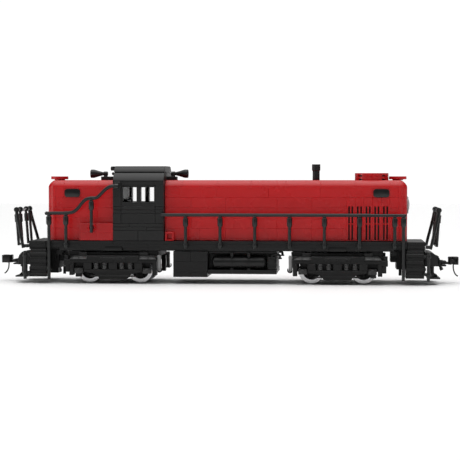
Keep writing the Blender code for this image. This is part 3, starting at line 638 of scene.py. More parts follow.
def make_cab():
    """Cab walls of bricks and plates, window frames with a mullion, panes and control stand."""
    walls = Shape()
    x0, x1 = CAB_LOW.x, CAB_HIGH.x
    z0 = CAB_LOW.z
    frame_x = (CAB_X + STUD, CAB_X + 5 * STUD)
    levels = [z0, 49.6, 52.8, 56, 65.6, 68.8, 72]
    seam_sets = [[24], [32], [16], [8, 40], [8, 40], [8, 40]]
    for t in (-1, 1):
        y = span(t, 24.4, CAB_HIGH.y)
        for low, high, seams in zip(levels, levels[1:], seam_sets):
            walls.row([x0] + [CAB_X + seam for seam in seams] + [x1], y, (low, high), 0.3)
        for low, high in ((72, 81.6), (81.6, 91.2)):
            walls.row([x0, frame_x[0]], y, (low, high))
            walls.row([frame_x[1], x1], y, (low, high))
        walls.row([x0, *frame_x, x1], y, (91.2, CAB_HIGH.z - 0.4))
    courses = [z0] + [z0 + BRICK * i for i in range(1, 6)] + [CAB_HIGH.z]
    for x in ((x0, x0 + STUD), (x1 - STUD, x1)):
        for z in zip(courses, courses[1:]):
            walls.row([*x], (-24.3, -8.05), z)
            walls.row([*x], (-7.95, 7.95), z)
            walls.row([*x], (8.05, 24.3), z)
    walls.piece("cab_walls", BLACK, replaces="cab_body")

    frames = Shape()
    low, high = frame_x[0] + 0.1, frame_x[1] - 0.1
    bars = [low] + [x for pair in WINDOWS for x in pair] + [high]
    for t in (-1, 1):
        y = span(t, 24.4, 31.4)
        frames.block((low, high), y, (72.1, 75.8), 0.2)
        frames.block((low, high), y, (89.7, 91.1), 0.2)
        for x in zip(bars[::2], bars[1::2]):
            frames.block(x, y, (75.7, 89.8), 0.2)
        frames.block((low + 0.9, high - 0.9), span(t, 31, 31.9), (74.8, 75.8), 0.25)
    frames.piece("cab_window_frames", BLACK)

    for side in SIDES:
        pane = Shape()
        low, high = node_box(f"cab_window_{side}")
        pane.block((frame_x[0] + 0.4, frame_x[1] - 0.4), (low.y, high.y), (73, 91), 0.1)
        pane.piece(f"cab_pane_{side}", CLEAR, replaces=f"cab_window_{side}")

    stand = Shape()
    low, high = node_box("control_stand")
    stand.block((low.x, high.x), (low.y, high.y), (low.z, 73.8), 0.5, 2)
    desk = low.x + 2.3
    stand.prism([(desk, 73.7), (desk, 79.4), (high.x - 1, 75.6), (high.x - 1, 73.7)], "Y", -19, 5, 0.3)
    stand.piece("cab_control_stand", BLACK, replaces="control_stand")
    gauges = Shape()
    gauges.block((low.x + 0.5, low.x + 2.2), (-18, -3), (73.9, high.z - 0.2), 0.3, 2)
    lever = smooth([(high.x - dx, -12, z) for dx, z in ((4.2, 77.6), (3.9, 79.6), (2.4, 79.4), (1.2, 76.6))])
    gauges.pipe(lever, 0.7, 10)
    gauges.ball(lever[-1], 1.1)
    gauges.piece("cab_gauge_panel", LIGHT_GREY)


def make_roof():
    """Sloped lower course, the step above it and the line under it darkened with painted shade, the rounded
    crown, and the lamp bracket.
    """
    x = (CAB_LOW.x, CAB_HIGH.x)
    base, step, rise, top = CAB_HIGH.z - 0.3, 103, 104, ROOF_HIGH.z
    lower = Shape()
    for t in (-1, 1):
        side = [(t * y, z) for y, z in ((32, base), (32, base + 0.7), (26.2, step), (16, step), (16, base))]
        lower.prism(side, "X", *x, 0.25)
    lower.block(x, (-15.9, 15.9), (base, step), 0.2)
    lower.piece("roof_skirt", ROOF, replaces="cab_roof")

    crown = Shape()
    curve = arc((16, 99.4), 10, 27.5, 90, 10)
    for t in (-1, 1):
        side = [(t * y, z) for y, z in curve + [(8.05, top), (8.05, rise)]]
        crown.prism(side, "X", *x, 0.2)
    crown.block(x, (-7.95, 7.95), (rise, top), 0.2)
    crown.piece("roof_crown", ROOF)

    # Painted shade: dark strips fill the step under the crown and the line where the skirt meets the walls.
    shade_strips = Shape()
    shade_strips.block((x[0] + 0.5, x[1] - 0.5), (-24.2, 24.2), (step - 0.1, rise + 0.1), 0)
    shade_strips.block((x[0] + 0.3, x[1] - 0.3), (-31.6, 31.6), (base - 0.2, base + 0.1), 0)
    shade_strips.piece("roof_shadow_course", SHADED_BLACK)

    bracket = Shape()
    bracket.block((ROOF_LOW.x + 1.8, x[0] + 0.4), (-7.6, 7.6), (105.4, 109.3), 0.4, 2)
    for t in (-1, 1):
        bracket.disc(2, -0.4, 1.9, (ROOF_LOW.x + 1.9, t * 4, 107.3), (-1, 0, 0), 24, (0.3, 0.3))
    bracket.block((ROOF_LOW.x + 1.4, x[0] + 0.4), (-3.6, 3.6), (101.2, 103.6), 0.3)
    bracket.lathe([(0, 1.4), (0.9, 1.2), (1.4, 0.6), (1.5, -0.4), (0, -0.4)],
                  (ROOF_LOW.x + 1.5, 0, 102.4), (-1, 0, 0), 24)
    bracket.piece("roof_lamp_bracket", BLACK)


# Tanks and boxes

def make_side_box(side, t):
    """Red box beside the short hood, with the ring that clips the handrail post."""
    low, high = node_box(f"side_box_{side}")
    box = Shape()
    y = span(t, 24.3, 32)
    back = CAB_LOW.x - SEAM
    box.row([low.x, -120, back], y, (HOOD_BASE, 47.4))
    box.row([low.x, back], y, (47.4, high.z))
    # Painted shade: the box takes the darker copy of the hood red.
    box.piece(f"red_side_box_{side}", SHADED_RED, replaces=f"side_box_{side}")
    ring = Shape()
    ring.lathe([(2.3, 1.6), (2.3, 0), (3.9, 0), (3.9, 1.4), (3.2, 2.3), (2.8, 2.3)],
               (-124, t * 32.05, 52.2), (0, t, 0), 36, ring=True)
    ring.piece(f"post_clip_ring_{side}", RED)


def make_tanks():
    """Fuel tank of bricks, air tank tray, the two air tanks with straps, and their pipes."""
    tank = Shape()
    levels = [TANK_LOW.z, 11.1, 20.7, TANK_HIGH.z]
    seams = [[-48, -32, -16], [-48, -16], [-48, -32, -16]]
    for (low, high), marks in zip(zip(levels, levels[1:]), seams):
        for a, b in zip(marks, marks[1:]):
            tank.block((a + SEAM, b - SEAM), (TANK_LOW.y, TANK_HIGH.y),
                       (low + SEAM / 2, high - SEAM / 2), 0.18)
    for t in (-1, 1):
        tank.disc(1.9, -0.2, 1, (-40, t * 30.9, 27.5), (0, t, 0), 20, (0.3, 0.3))
    tank.piece("fuel_tank_bricks", FRAME_BLACK, replaces="fuel_tank")

    tray = Shape()
    x0, x1 = TRAY_LOW.x, 48
    for t in (-1, 1):
        tray.row([x0, 16, x1], span(t, 16, 32), (TRAY_LOW.z, 13.3))
        tray.block((39.6, 47.6), span(t, 18.6, 30.5), (13.4, 25.6), 0.4)
        tray.block((40.4, 46.8), span(t, 29.9, 31.4), (17, 23.6), 0.3)
        tray.row([x0, 16, x1], span(t, 18, 27), (28.4, TRAY_HIGH.z))
    tray.block((x0, x1), (-15.9, 15.9), (TRAY_LOW.z, TRAY_HIGH.z), 0.3)
    for low, high in ((13.4, 20), (20, 28.3)):
        for t in (-1, 1):
            tray.row([x0, 0, 32, x1], span(t, 16, 18.5), (low, high))
    tray.piece("air_tank_shelf", FRAME_BLACK, replaces="air_tank_tray")

    for side, t in SIDES.items():
        centre = (13, t * 25.4, 20)
        low, high = node_box(f"air_tank_{side}")
        half = (high.x - low.x) / 2
        nose = [(5.9 * b, half - 3.6 + 3.6 * a) for a, b in arc((0, 0), 1, 0, 90, 9)]
        body = Shape()
        body.lathe(nose + [(r, -h) for r, h in reversed(nose)], centre, (1, 0, 0), 40)
        body.disc(1.3, -1.6, 0, (low.x, *centre[1:]), (-1, 0, 0), 14)
        body.piece(f"air_reservoir_{side}", BLACK, replaces=f"air_tank_{side}")
        straps = Shape()
        for x in (6.6, 22.2):
            straps.collar(6.35, 5.95, 1.4, (x, *centre[1:]), (1, 0, 0), 36)
            straps.block((x - 1.4, x + 1.4), span(t, 27, 31.6), (25.6, 29.4), 0.25)
            straps.block((x - 1.4, x + 1.4), span(t, 24, 31.7), (13.4, 14.6), 0.2)
            straps.ball((x, t * 30.8, 24.9), 0.9)
        straps.piece(f"air_tank_straps_{side}", FRAME_BLACK)
        # Painted shade: the drain ports take the darkest black.
        ports = Shape()
        for x in (-3, 14.4, 30.5):
            ports.disc(1.15, -0.6, 0.5, (x, t * 30, 16.4), (0, t, -0.55), 14, (0.3, 0.2))
        ports.piece(f"air_tank_drains_{side}", SHADED_BLACK)
        pipes = Shape()
        bend = [(44, 24), (44.2, 26.8), (47, 27.2), (50.4, 26.8), (51, 23.6)]
        pipes.pipe(smooth([(x, t * 27, z) for x, z in bend], 5), 1.2, 12)
        pipes.disc(1.7, -0.6, 0.6, (51, t * 27, 23.9), sides=16)
        pipes.pipe(smooth([(38.2, t * 25.4, 20), (39, t * 25.4, 20), (39.7, t * 25.4, 20)], 2), 1, 12)
        pipes.pipe(smooth([(-13, t * 22, 27.6), (0, t * 22.6, 27.3), (20, t * 22.6, 27.3),
                           (38, t * 22, 27.6)], 4), 0.7, 10)
        pipes.piece(f"air_pipes_{side}", SOFT_BLACK)


# Handrails

def add_post(shape, x, t, bottom, top, lug=True):
    """A handrail post: bar, sleeve with rounded shoulders, and the lug on the sill."""
    y = t * RAIL_Y
    shape.pipe([(x, y, bottom), (x, y, top)], POST_R)
    z = top - 6.7
    sleeve = [(1.5, 4.2), (2, 4.1), (2.5, 3.3), (2.5, -2.6), (2.2, -3.4), (1.6, -4.4), (1.4, -4.4),
              (1.4, 4.2)]
    shape.lathe(sleeve, (x, y, z), sides=24, ring=True)
    shape.lathe([(1.4, 1.2), (2, 0.9), (2, -0.6), (1.4, -1)], (x, y, top - 1.2), sides=20, ring=True)
    if lug:
        shape.block((x - 1.2, x + 1.2), span(t, 32.1, RAIL_Y - 1), (34.4, 37.8), 0.25)
        shape.collar(2.2, 1.4, 1.6, (x, y, 36.1), rim=(0.1, 0.3))


def make_long_handrail(side, t):
    """Long rail on its posts, with a joint where two bars meet."""
    low = node_box(f"rear_handrail_{side}")[0]
    z = 64.2
    y = t * RAIL_Y
    rail = Shape()
    rail.pipe([(low.x + 0.8, y, z), (134, y, z)], BAR_R, 16)
    rail.pipe([(133.5, y, z - 0.1), (STEP_POST_X + 1.6, y, z - 0.1)], BAR_R - 0.2, 16)
    for i in range(7):
        add_post(rail, -36 + 32 * i, t, 33.2, z)
    add_post(rail, STEP_POST_X, t, low.z, z, lug=False)
    rail.block((low.x, low.x + 2.4), span(t, 32.1, RAIL_Y), (62.8, 65.6), 0.3)
    rail.ball((STEP_POST_X + 1.4, y, z - 0.1), 1.45)
    rail.piece(f"long_handrail_{side}", SOFT_BLACK, replaces=f"rear_handrail_{side}")


def make_short_handrail(side, t):
    """Rail that rises to the cab in two soft bends."""
    low = node_box(f"front_handrail_{side}")[0]
    y = t * RAIL_Y
    route = [(-166.6, 65.6), (-156, 65.7), (-147, 65.8), (-141.5, 66.7), (-137.4, 69.4), (-132.8, 74.9),
             (-129, 78.4), (-124, 79.7), (-120, 79.8), (-116.6, 81.8), (-111.4, 87.1), (-106.6, 90.3),
             (-102.5, 90.8), (-99.4, 90.5)]
    rail = Shape()
    rail.pipe(smooth([(x, y, z) for x, z in route], 5), BAR_R, 16)
    add_post(rail, -STEP_POST_X, t, low.z, 65.5, lug=False)
    add_post(rail, -148, t, 33.2, 65.5)
    add_post(rail, -124, t, 47.7, 79.4, lug=False)
    rail.ball((-166.4, y, 65.5), 1.62)
    rail.block((-103.3, -97.3), span(t, 32.1, 33.9), (86.9, 94.8), 0.3)
    rail.block((-101.9, -98.7), span(t, 33.7, RAIL_Y - 1), (88.9, 92.1), 0.3)
    rail.collar(2.6, 1.4, 1.8, (-100.3, y, 90.5), (1, 0, 0), 24, (0.1, 0.3))
    rail.piece(f"short_handrail_{side}", SOFT_BLACK, replaces=f"front_handrail_{side}")


def add_link(shape, centre, run, up, length, radius):
    """One oval chain link."""
    run = Vector(run).normalized()
    up = Vector(up).normalized()
    half = length / 2 - 0.7
    turn = arc((0, 0), 0.7, 0, 360, 16)[:16]
    points = [Vector(centre) + run * (a + (half if a > 0 else -half)) + up * b for a, b in turn]
    shape.pipe(points, radius, 8, closed=True)


def make_end_railing(end, s):
    """End railing: leaning stanchions, bars hanging from rings, and a chain across the gangway."""
    top = 68.6
    x_top = s * 196.5
    rail = Shape()
    for t in (-1, 1):
        lean = [(s * 188.6, t * 34.6, 33.2), (s * 190.6, t * 33.4, 42), (s * 194.4, t * 30, 58),
                (x_top, t * 28, top + 0.4)]
        rail.pipe(smooth(lean, 5), 1.45)
        rail.pipe([(x_top, t * 11, top), (x_top, t * 30, top)], 1.15)
        rail.block(span(s, DECK_END + 0.3, 188.8), span(t, 29.2, 34.4), (33.5, 36.5), 0.3)
        for y in (12, 27):
            rail.pipe([(s * 194.6, t * y, 35.2), (s * 197, t * y, top)], 1.3)
            rail.collar(2.5, 1.1, 1.4, (x_top, t * y, top), (0, 1, 0), 24, (0.15, 0.3))
            rail.lathe([(1.2, 4), (2, 3.4), (2, -3.4), (1.2, -4)],
                       (s * 196.4, t * y, top - 8), (s * 2.4, 0, 33.4), 20, ring=True)
        rail.pipe([(s * 194.6, t * 28.6, 36.2), (s * 194.6, t * 10.4, 36.2)], 1.1)
    rail.piece(f"{end}_end_railing", SOFT_BLACK, replaces=f"{end}_railing")
    chain = Shape()
    links = 11
    for i in range(links):
        part = (i + 0.5) / links * 2 - 1
        sag = 1.6 * (1 - part * part)
        up = (0, 0, 1) if i % 2 else (1, 0, 0)
        add_link(chain, (x_top, part * 11.6, top + 0.6 - sag), (0, 1, 0.28 * part), up, 2.9, 0.32)
    chain.piece(f"{end}_gangway_chain", CHAIN)


# Roof gear

def make_fan():
    """Fan housing of two slotted layers with its guard, and the rotor inside."""
    base, top = HOOD_TOP, FAN_HIGH.z
    x = (FAN_LOW.x + FAN_HIGH.x) / 2
    radius = (FAN_HIGH.x - FAN_LOW.x) / 2
    middle = (base + top) / 2
    slit, rim = 1.4, 3.6
    fan = Shape()
    for low, high in ((base, middle - SEAM), (middle + SEAM, top)):
        for corner in (45, 135, 225, 315):
            fan.sector((x, 0), radius - rim, radius, (corner + 9, corner + 81), (low, low + slit))
        fan.lathe([(radius - 0.25, high), (radius, high - 0.25), (radius, low + slit),
                   (radius - rim, low + slit), (radius - rim, high)], (x, 0, 0), sides=64, ring=True)
    for spoke in zip(*[arc((x, 0), r, 0, 330, 11) for r in (3, radius - 3.4)]):
        fan.pipe([(*p, top - 0.6) for p in spoke], 0.45, 8)
    for r in (6, 9.5):
        fan.collar(r + 0.45, r - 0.45, 0.3, (x, 0, top - 0.6), sides=40)
    fan.disc(3.2, top - 1.2, top - 0.1, (x, 0, 0), sides=28, rim=(0.3, 0.3))
    fan.piece("fan_shroud", RED, replaces="fan_housing")
    # Painted shade: the rotor and core inside the shroud take the darkest black.
    core = Shape()
    inner = radius - 1.2
    core.lathe([(0, base + 3.2), (inner - 2.3, base + 3.2), (inner - 2.3, base + 4.9), (inner, base + 4.9),
                (inner, base + 0.1), (0, base + 0.1)], (x, 0, 0), sides=48)
    for i in range(6):
        turn = 2 * math.pi * i / 6
        blade = []
        for r, twist in ((3, 0), (11, 0), (11, 0.45), (3, 0.45)):
            blade.append((x + r * math.cos(turn + twist), r * math.sin(turn + twist)))
        core.prism(blade, "Z", base + 3.7, base + 4.5, 0.1)
    core.piece("fan_rotor_and_core", SHADED_BLACK)


def make_horn(end, s):
    """Air horn: bell, the clip around its stem, and the plate it stands on."""
    low, high = node_box(f"{end}_horn")
    back = high.x - 16.5 if s > 0 else low.x + 16.5
    z = high.z - 4
    horn = Shape()
    seat = (low.x, back + 6) if s > 0 else (back - 6, high.x)
    horn.row([*seat], (-4, 4), (HOOD_TOP, 99.8))
    horn.block(span(s, s * back + 0.4, s * back + 3.9), (-1.7, 1.7), (99.7, z + 0.4), 0.3)
    bell = [(3.5, 16.5), (4, 16.1), (4, 13.2), (3.7, 12.2), (2.5, 8.2), (1.75, 5.2), (1.6, 4.6), (1.6, 0),
            (0.4, 0), (0.4, 9), (1.8, 11.4), (3.2, 15.4)]
    horn.lathe(bell, (back, 0, z), (s, 0, 0), 40, ring=True)
    horn.lathe([(2, 4), (2.15, 3.7), (2.15, 0.6), (2, 0.3), (1.3, 0.3), (1.3, 4)],
               (back, 0, z), (s, 0, 0), 24, ring=True)
    horn.piece(f"{end}_air_horn", BLACK, replaces=f"{end}_horn")


def make_vent_and_lamp(end, s):
    """Round vent cap on the hood's end, and the headlight on its face."""
    low, high = node_box(f"{end}_vent_cap")
    cap = Shape()
    r = (high.x - low.x) / 2
    cap.lathe([(0, high.z - 0.3), (2.4, high.z - 0.3), (2.7, high.z), (r - 0.3, high.z), (r, high.z - 0.3),
               (r, 97.3), (r - 0.2, 97.1), (5, 97.1), (5, HOOD_TOP), (0, HOOD_TOP)],
              ((high.x + low.x) / 2, 0, 0), sides=56)
    cap.piece(f"{end}_vent_disc", RED, replaces=f"{end}_vent_cap")

    low, high = node_box(f"{end}_headlight")
    centre = (low.x if s > 0 else high.x, 0, (low.z + high.z) / 2)
    bezel = Shape()
    bezel.lathe([(8, 0), (8, 1.1), (7.6, 1.5), (6.6, 1.5), (6.3, 1.1), (6.3, 0)], centre, (s, 0, 0), 44,
                ring=True)
    bezel.piece(f"{end}_headlight_bezel", LIGHT_GREY, replaces=f"{end}_headlight")
    glass = Shape()
    dome = [(6.25 * b, 0.7 + 2.1 * a) for a, b in arc((0, 0), 1, 0, 90, 6)]
    glass.lathe(dome + [(6.25, 0.1), (0, 0.1)], centre, (s, 0, 0), 40)
    glass.piece(f"{end}_headlight_lens", LENS)


def make_stack():
    """Exhaust stack with a thicker lip and an open mouth."""
    stack = Shape()
    r = (STACK_HIGH.x - STACK_LOW.x) / 2
    foot, lip = HOOD_TOP, STACK_HIGH.z
    stack.lathe([(r - 0.2, lip), (r, lip - 0.25), (r, lip - 5.6), (r - 0.6, lip - 6.3), (r - 0.6, foot),
                 (1.2, foot), (1.2, foot + 4), (r - 0.9, foot + 4.2), (r - 0.9, lip)],
                ((STACK_HIGH.x + STACK_LOW.x) / 2, 0, 0), sides=36, ring=True)
    stack.piece("exhaust_pipe", BLACK, replaces="exhaust_stack")


def make_roof_gear():
    """Everything that stands on the hoods and their ends."""
    make_fan()
    make_stack()
    for end, s in ENDS.items():
        make_vent_and_lamp(end, s)
        make_horn(end, s)


# Bogies

def coil_points(centre, radius, low, high, turns):
    """Points of an upright coil spring."""
    count = int(turns * 14)
    flat = arc(centre, radius, 0, 360 * turns, count)
    return [(*p, low + (high - low) * i / count) for i, p in enumerate(flat)]


def make_side_frame(end, cx, inward, side, t):
    """Side frame: chord, pedestals, spring windows, journal boxes, slopes and the tube at the inner end."""
    body = f"{end}_bogie"
    face = span(t, 29, 36)

    def beside(low, high):
        """A range along X, counted towards the middle of the locomotive."""
        return sorted((cx + inward * low, cx + inward * high))

    casting = Shape()
    chord = [(-46, 17.3), (-46, 22.6), (-24.4, 22.6), (-24.4, 26.2), (24.4, 26.2), (24.4, 22.6), (41, 22.6),
             (41, 17.3), (36.9, 19.4), (-36.9, 19.4), (-41, 17.3)]
    casting.prism([(cx + inward * a, b) for a, b in chord], "Y", *face, 0.35)
    sill = [(12.6, 4.4), (13.8, 6.8), (17.4, 9.2), (22, 10.2), (27.6, 11.2), (27.6, 13.3), (-27.6, 13.3),
            (-27.6, 11.2), (-22, 10.2), (-17.4, 9.2), (-13.8, 6.8), (-12.6, 4.4)]
    casting.prism([(cx + a, b) for a, b in sill], "Y", *face, 0.35)
    for low, high in ((-27.6, -20.1), (-3.9, 3.9), (20.1, 27.6)):
        casting.block((cx + low, cx + high), face, (13.2, 19.6), 0.3)
    for low, high in ((-41, -36.9), (36.9, 41)):
        casting.block(beside(low, high), span(t, 29, 35.6), (8, 19.6), 0.3)
    casting.block(beside(-44.6, -41.1), span(t, 30, 35), (11, 17.4), 0.25)
    casting.block(beside(-45.8, -42.2), span(t, 30.2, 34.2), (22.4, 26.6), 0.25)
    casting.block(beside(36.9, 40.9), span(t, 29, 34.6), (22.5, 26.2), 0.25)
    casting.block(beside(40, 43.1), span(t, 32.2, 33.8), (22.8, 25.2), 0.2)
    for middle in (-28.5, 28.5):
        casting.block(beside(middle - 3.9, middle + 3.9), span(t, 29, 33), (26.3, 29), 0.25)
    casting.block((cx - 12, cx + 12), span(t, 35.6, 36.5), (21.4, 24.6), 0.3)
    for dx in (-9, 0, 9):
        casting.disc(1.1, -0.3, 0.7, (cx + dx, t * 36.4, 23), (0, t, 0), 14, (0.3, 0.3))
    casting.block((cx - 21, cx + 21), span(t, 35.7, 36.4), (6.6, 8), 0.2)
    casting.block(beside(-35.4, -30), span(t, 29.4, 34), (6.4, 10.2), 0.25)
    casting.piece(f"{end}_side_frame_casting_{side}", FRAME_BLACK, body, f"{end}_side_frame_{side}")

    slopes = Shape()
    for sign in (-1, 1):
        for near, far, back in ((24.6, 32.45, 32.45), (32.55, 40.4, 37.6)):
            foot = [(x, y, z) for x in (near, far) for y, z in ((29.2, 22.7), (36.8, 22.7), (36.8, 23.2))]
            crest = [(x, y, 26.4) for x in (near, back) for y in (29.2, 32.6)]
            slopes.hull([(cx + sign * x, t * y, z) for x, y, z in foot + crest], 0.1)
    slopes.piece(f"{end}_bogie_slopes_{side}", MID_GREY, body)

    journals = Shape()
    for x in (cx - 32, cx + 32):
        journals.block((x - 3.9, x + 3.9), span(t, 31, 36.9), (9.8, 14.8), 0.5, 2)
        journals.disc(2, -0.3, 0.5, (x, t * 36.7, 12.3), (0, t, 0), 20, (0.4, 0.3))
    journals.piece(f"{end}_journal_boxes_{side}", MID_GREY, body)

    # Painted shade: the backs of the spring windows take the darkest black.
    backs = Shape()
    for low, high in ((-37, -27.7), (-19.9, -4.1), (4.1, 19.9), (27.7, 34.6)):
        backs.block(beside(low, high), span(t, 29.1, 30.2), (13.3, 19.5), 0)
    backs.block(beside(-45.8, -36.5), span(t, 29.1, 31), (22.4, 26.2), 0)
    bolster = [(13.4, 5), (12.2, 7.4), (11.7, 12), (-11.7, 12), (-12.2, 7.4), (-13.4, 5)]
    backs.prism([(cx + a, b) for a, b in bolster], "Y", *span(t, 17, 28.8), 0.2)
    backs.piece(f"{end}_spring_pockets_{side}", SHADED_BLACK, body)
    springs = Shape()
    for offset in (-16, -8, 8, 16):
        springs.pipe(coil_points((cx + offset, t * 33.4), 1.8, 13.6, 19.4, 4), 0.6, 8)
        springs.pipe([(cx + offset, t * 33.4, 13.3), (cx + offset, t * 33.4, 19.6)], 0.9, 10)
    springs.piece(f"{end}_springs_{side}", SPRING_GREY, body)

    gear = Shape()
    x = cx + inward * 43.1
    gear.pipe([(x, t * 33, 11), (x, t * 33, 26.8)], 1.75, 16)
    for z in (13, 25):
        gear.collar(1.9, 1.5, 0.6, (x, t * 33, z))
    gear.piece(f"{end}_brake_cylinder_{side}", TUBE_GREY, body)
    shoes = Shape()
    hook = [(41.6, 12.6), (43, 11.4), (44.6, 11.6), (45.6, 13), (45.4, 15)]
    shoes.pipe(smooth([(cx + inward * a, t * 35.2, z) for a, z in hook], 3), 0.55, 8)
    for ax, way in ((cx - AXLE_X, 1), (cx + AXLE_X, -1)):
        turn = -22 if way > 0 else 158
        pad = arc((ax, WHEEL_R), 12.5, turn, turn + 44, 6) + arc((ax, WHEEL_R), 14.2, turn + 44, turn, 6)
        shoes.prism(pad, "Y", *span(t, 17.6, 21.4), 0.15)
        shoes.block((ax + way * 13.6 - 0.7, ax + way * 13.6 + 0.7), span(t, 18.4, 20.6), (14, 25.4), 0.15)
    shoes.piece(f"{end}_brake_shoes_{side}", FRAME_BLACK, body)


def make_bogie_frame(end, cx):
    """Bogie top plates, bolster, thrust ring, kingpin and the axle bearings."""
    # Painted shade: the bogie's top plates, under the body, take the darkest black.
    body = f"{end}_bogie"
    plates = Shape()
    plates.row([cx - 42, cx - 16, cx + 16, cx + 42], (-28.7, 28.7), (25.2, 28.9))
    plates.block((cx - 6, cx + 6), (-28.7, 28.7), (24.6, 25.3), 0.2)
    for x in ((cx - 42, cx - 30), (cx + 30, cx + 42)):
        plates.block(x, (-28.6, 28.6), (28.8, 30.2))
    plates.disc(9, 28.8, 30.2, (cx, 0, 0), sides=40, rim=(0.3, 0.3))
    plates.disc(3, 30, 37, (cx, 0, 0), sides=28, rim=(0.4, 0.5))
    for sign in (-1, 1):
        x = cx + sign * AXLE_X
        for t in (-1, 1):
            outline = arc((x, WHEEL_R), 4.6, 180, 360, 10) + [(x + 5, 25.3), (x - 5, 25.3)]
            plates.prism(outline, "Y", *span(t, 10.5, 14.5), 0.25)
    plates.piece(f"{end}_bogie_plates", SHADED_BLACK, body, f"{end}_bogie_frame")


def make_wheel(end, number, side, t, x):
    """A wheel: pale tyre with its flange, and a dark ribbed centre with a hub."""
    body = f"{end}_wheelset_{number}"
    centre = (x, 0, WHEEL_R)
    tyre = Shape()
    profile = [(8.1, 22), (8.3, 21.8), (8.3, 16.2), (11.7, 16), (12, 16.3), (12, 16.9), (11.6, 17.5),
               (11.5, 21.7), (11.3, 22)]
    tyre.lathe(profile, centre, (0, t, 0), 72, ring=True)
    tyre.piece(f"{end}_tyre_{number}_{side}", WHEEL_GREY, body, f"{end}_wheel_{number}_{side}")
    # The dark centre is partly a black hub and partly painted shade in its recess.
    middle = Shape()
    dish = [(2.15, 20.6), (3.4, 20.6), (3.7, 20.2), (3.9, 18.6), (7.9, 18.6), (7.9, 20.2), (8.25, 20.2),
            (8.25, 16.4), (2.15, 16.4)]
    middle.lathe(dish, centre, (0, t, 0), 40, ring=True)
    for ends in zip(*[arc((x, WHEEL_R), r, 22.5, 337.5, 7) for r in (3.4, 7.7)]):
        middle.pipe([(a, t * 19.2, b) for a, b in ends], 0.7, 8)
    middle.piece(f"{end}_wheel_centre_{number}_{side}", SHADED_BLACK, body)


def make_bogies():
    """Both bogies, their wheels and axles."""
    for end, s in ENDS.items():
        cx = s * BOGIE_X
        make_bogie_frame(end, cx)
        for side, t in SIDES.items():
            make_side_frame(end, cx, -s, side, t)
        for number, dx in ((1, -AXLE_X), (2, AXLE_X)):
            for side, t in SIDES.items():
                make_wheel(end, number, side, t, cx + dx)
            axle = Shape()
            half = [(0, 28), (1.2, 28), (1.9, 26.8), (1.9, 15.6), (2, 15.4)]
            profile = half + [(r, -along) for r, along in reversed(half)]
            axle.lathe(profile, (cx + dx, 0, WHEEL_R), (0, 1, 0), 24)
            axle.piece(f"{end}_axle_shaft_{number}", STEEL, f"{end}_wheelset_{number}",
                       f"{end}_axle_{number}")


# Couplers

def make_coupler(end, s):
    """Coupler head with its guard arm, the knuckle, and the curved trip pin."""
    head = Shape()
    head.block(span(s, 200.5, 207.4), (-2.3, 2.3), (17.75, 19.95), 0.25)
    head.collar(2.9, 1.5, 1.1, (s * 200.5, 0, 18.85), sides=28)
    back = [(207, -3.2), (208.4, -5), (210.1, -5), (210.1, 2.7), (213.8, 2.7), (216.4, 3.6), (216.4, 5),
            (209, 5), (207, 3.2)]
    head.prism(flipped(s, s, back), "Z", 17.5, 24.7, 0.35, 2)
    ear = [(209.9, -4.9), (212.2, -4.9), (213.6, -4.2), (213.8, -3.2), (213, -2.1), (209.9, -1.9)]
    head.prism(flipped(s, s, ear), "Z", 19.6, 22.4, 0.2)
    head.piece(f"{end}_coupler_head", BLACK, f"{end}_coupler", f"{end}_coupler")

    knuckle = Shape()
    nose = [(214.3, -4.2), (215.2, -5), (216.1, -4.6), (216.5, -3.4), (216.5, 0), (215.8, 0.8), (214.7, 0.8),
            (214.3, 0)]
    knuckle.prism(flipped(s, s, nose), "Z", 17.5, 24.7, 0.3, 2)
    arm = [(211.5, -4.4), (212.4, -5), (214.8, -5), (215, -1.9), (212.4, -1.9), (211.5, -2.6)]
    for low, high in ((17.5, 19.3), (22.7, 24.7)):
        knuckle.prism(flipped(s, s, arm), "Z", low, high, 0.25)
    knuckle.lathe([(0, 24.7), (1.1, 24.7), (1.3, 24.5), (1.3, 24.2), (0.65, 24.1), (0.65, 18), (0, 18)],
                  (s * 212.2, -s * 3.4, 0), sides=18)
    pin = [(211.7, 18.4), (211.6, 15.6), (211.9, 12.6), (212.9, 9.8), (214.3, 7.9), (216, 6.75)]
    knuckle.pipe(smooth([(s * x, -s * 3.4, z) for x, z in pin]), 0.62, 12)
    knuckle.piece(f"{end}_coupler_knuckle", BLACK, f"{end}_knuckle", f"{end}_knuckle")


# Carried-over CAD nodes

def finish_cad_nodes():
    """Give the hidden CAD nodes that stay in place their own materials."""
    for name, material in (("battery_pack", MID_GREY), ("drive_motor", STEEL), ("axle_gear", LIGHT_GREY),
                           ("motor_pinion", LIGHT_GREY)):
        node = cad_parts[name]
        node.data.materials.clear()
        node.data.materials.append(material)


# Stage

SKY_LOW = 0.03
SKY_HIGH = 3.2
SKY_BACK = 0.9
SKY_SEEN = 1.05


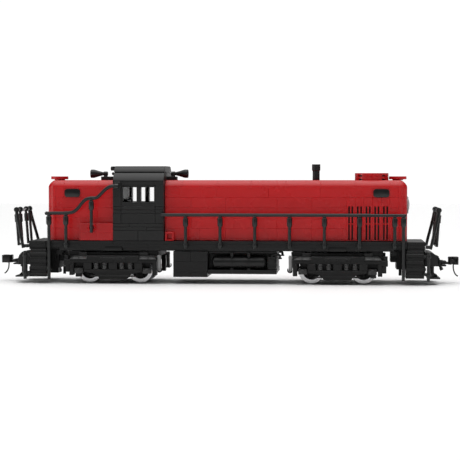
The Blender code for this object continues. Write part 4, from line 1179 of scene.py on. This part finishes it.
def make_sky():
    """White surround that lights the model from high up and from behind."""
    world = bpy.data.worlds.new("studio")
    bpy.context.scene.world = world
    graph = Graph(world)
    way = graph.add("SeparateXYZ", {"Vector": graph.add("TexCoord")["Generated"]})
    above = graph.math("POWER", graph.math("MAXIMUM", way["Z"], 0), 4)
    behind = graph.math("POWER", graph.math("MAXIMUM", way["Y"], 0), 30)
    strength = graph.math("MULTIPLY_ADD", behind, SKY_BACK, graph.spread(above, SKY_LOW, SKY_HIGH))
    fill = graph.nodes["Background"]
    graph.feed(fill, {"Color": WHITE, "Strength": strength})
    seen = graph.add("Background", {"Color": WHITE, "Strength": SKY_SEEN})
    straight = graph.add("LightPath")["Is Camera Ray"]
    mix = graph.add("MixShader", {"Fac": straight, 1: fill.outputs["Background"], 2: seen["Background"]})
    graph.feed(graph.nodes["World Output"], {"Surface": mix["Shader"]})


def make_stage():
    """Pale floor, soft studio lights, white surround and the camera."""
    mat = bpy.data.materials.new("floor_white")
    graph = Graph(mat)
    graph.feed(graph.nodes["Principled BSDF"], {"Base Color": WHITE, "Roughness": 0.55})
    floor = Shape()
    floor.block((-4000, 4000), (-4000, 4000), (-6, 0), 0)
    floor.build("floor", mat)
    make_sky()

    for name, place, size, power in (("left_box", (-1.6, -0.5, 0.45), (0.3, 1.3), 6),
                                     ("right_box", (1.6, -0.9, 0.8), (0.4, 0.9), 2)):
        light = bpy.data.lights.new(name, "AREA")
        light.shape = "RECTANGLE"
        light.size, light.size_y = size
        light.energy = power
        lamp = link(bpy.data.objects.new(name, light))
        lamp.location = place
        aim = Vector((0, 0, 0.05)) - Vector(place)
        lamp.rotation_euler = aim.to_track_quat("-Z", "Y").to_euler()

    lens = bpy.data.cameras.new("camera")
    lens.sensor_width = 36
    lens.lens = 107.64
    lens.clip_end = 20
    camera = link(bpy.data.objects.new("camera", lens))
    camera.location = (0.10864, -1.29772, 0.09787)
    camera.rotation_euler = (math.radians(87.855), 0, math.radians(4.686))
    bpy.context.scene.camera = camera
    bpy.context.scene.view_settings.view_transform = "Standard"


make_stage()
make_underframe()
for end_name, direction in ENDS.items():
    make_platform(end_name, direction)
    make_end_railing(end_name, direction)
    make_coupler(end_name, direction)
    for side_name, toward in SIDES.items():
        make_steps(end_name, direction, side_name, toward)
make_hoods()
make_cab()
make_roof()
make_tanks()
make_roof_gear()
make_bogies()
for side_name, toward in SIDES.items():
    make_side_box(side_name, toward)
    make_long_handrail(side_name, toward)
    make_short_handrail(side_name, toward)
finish_cad_nodes()
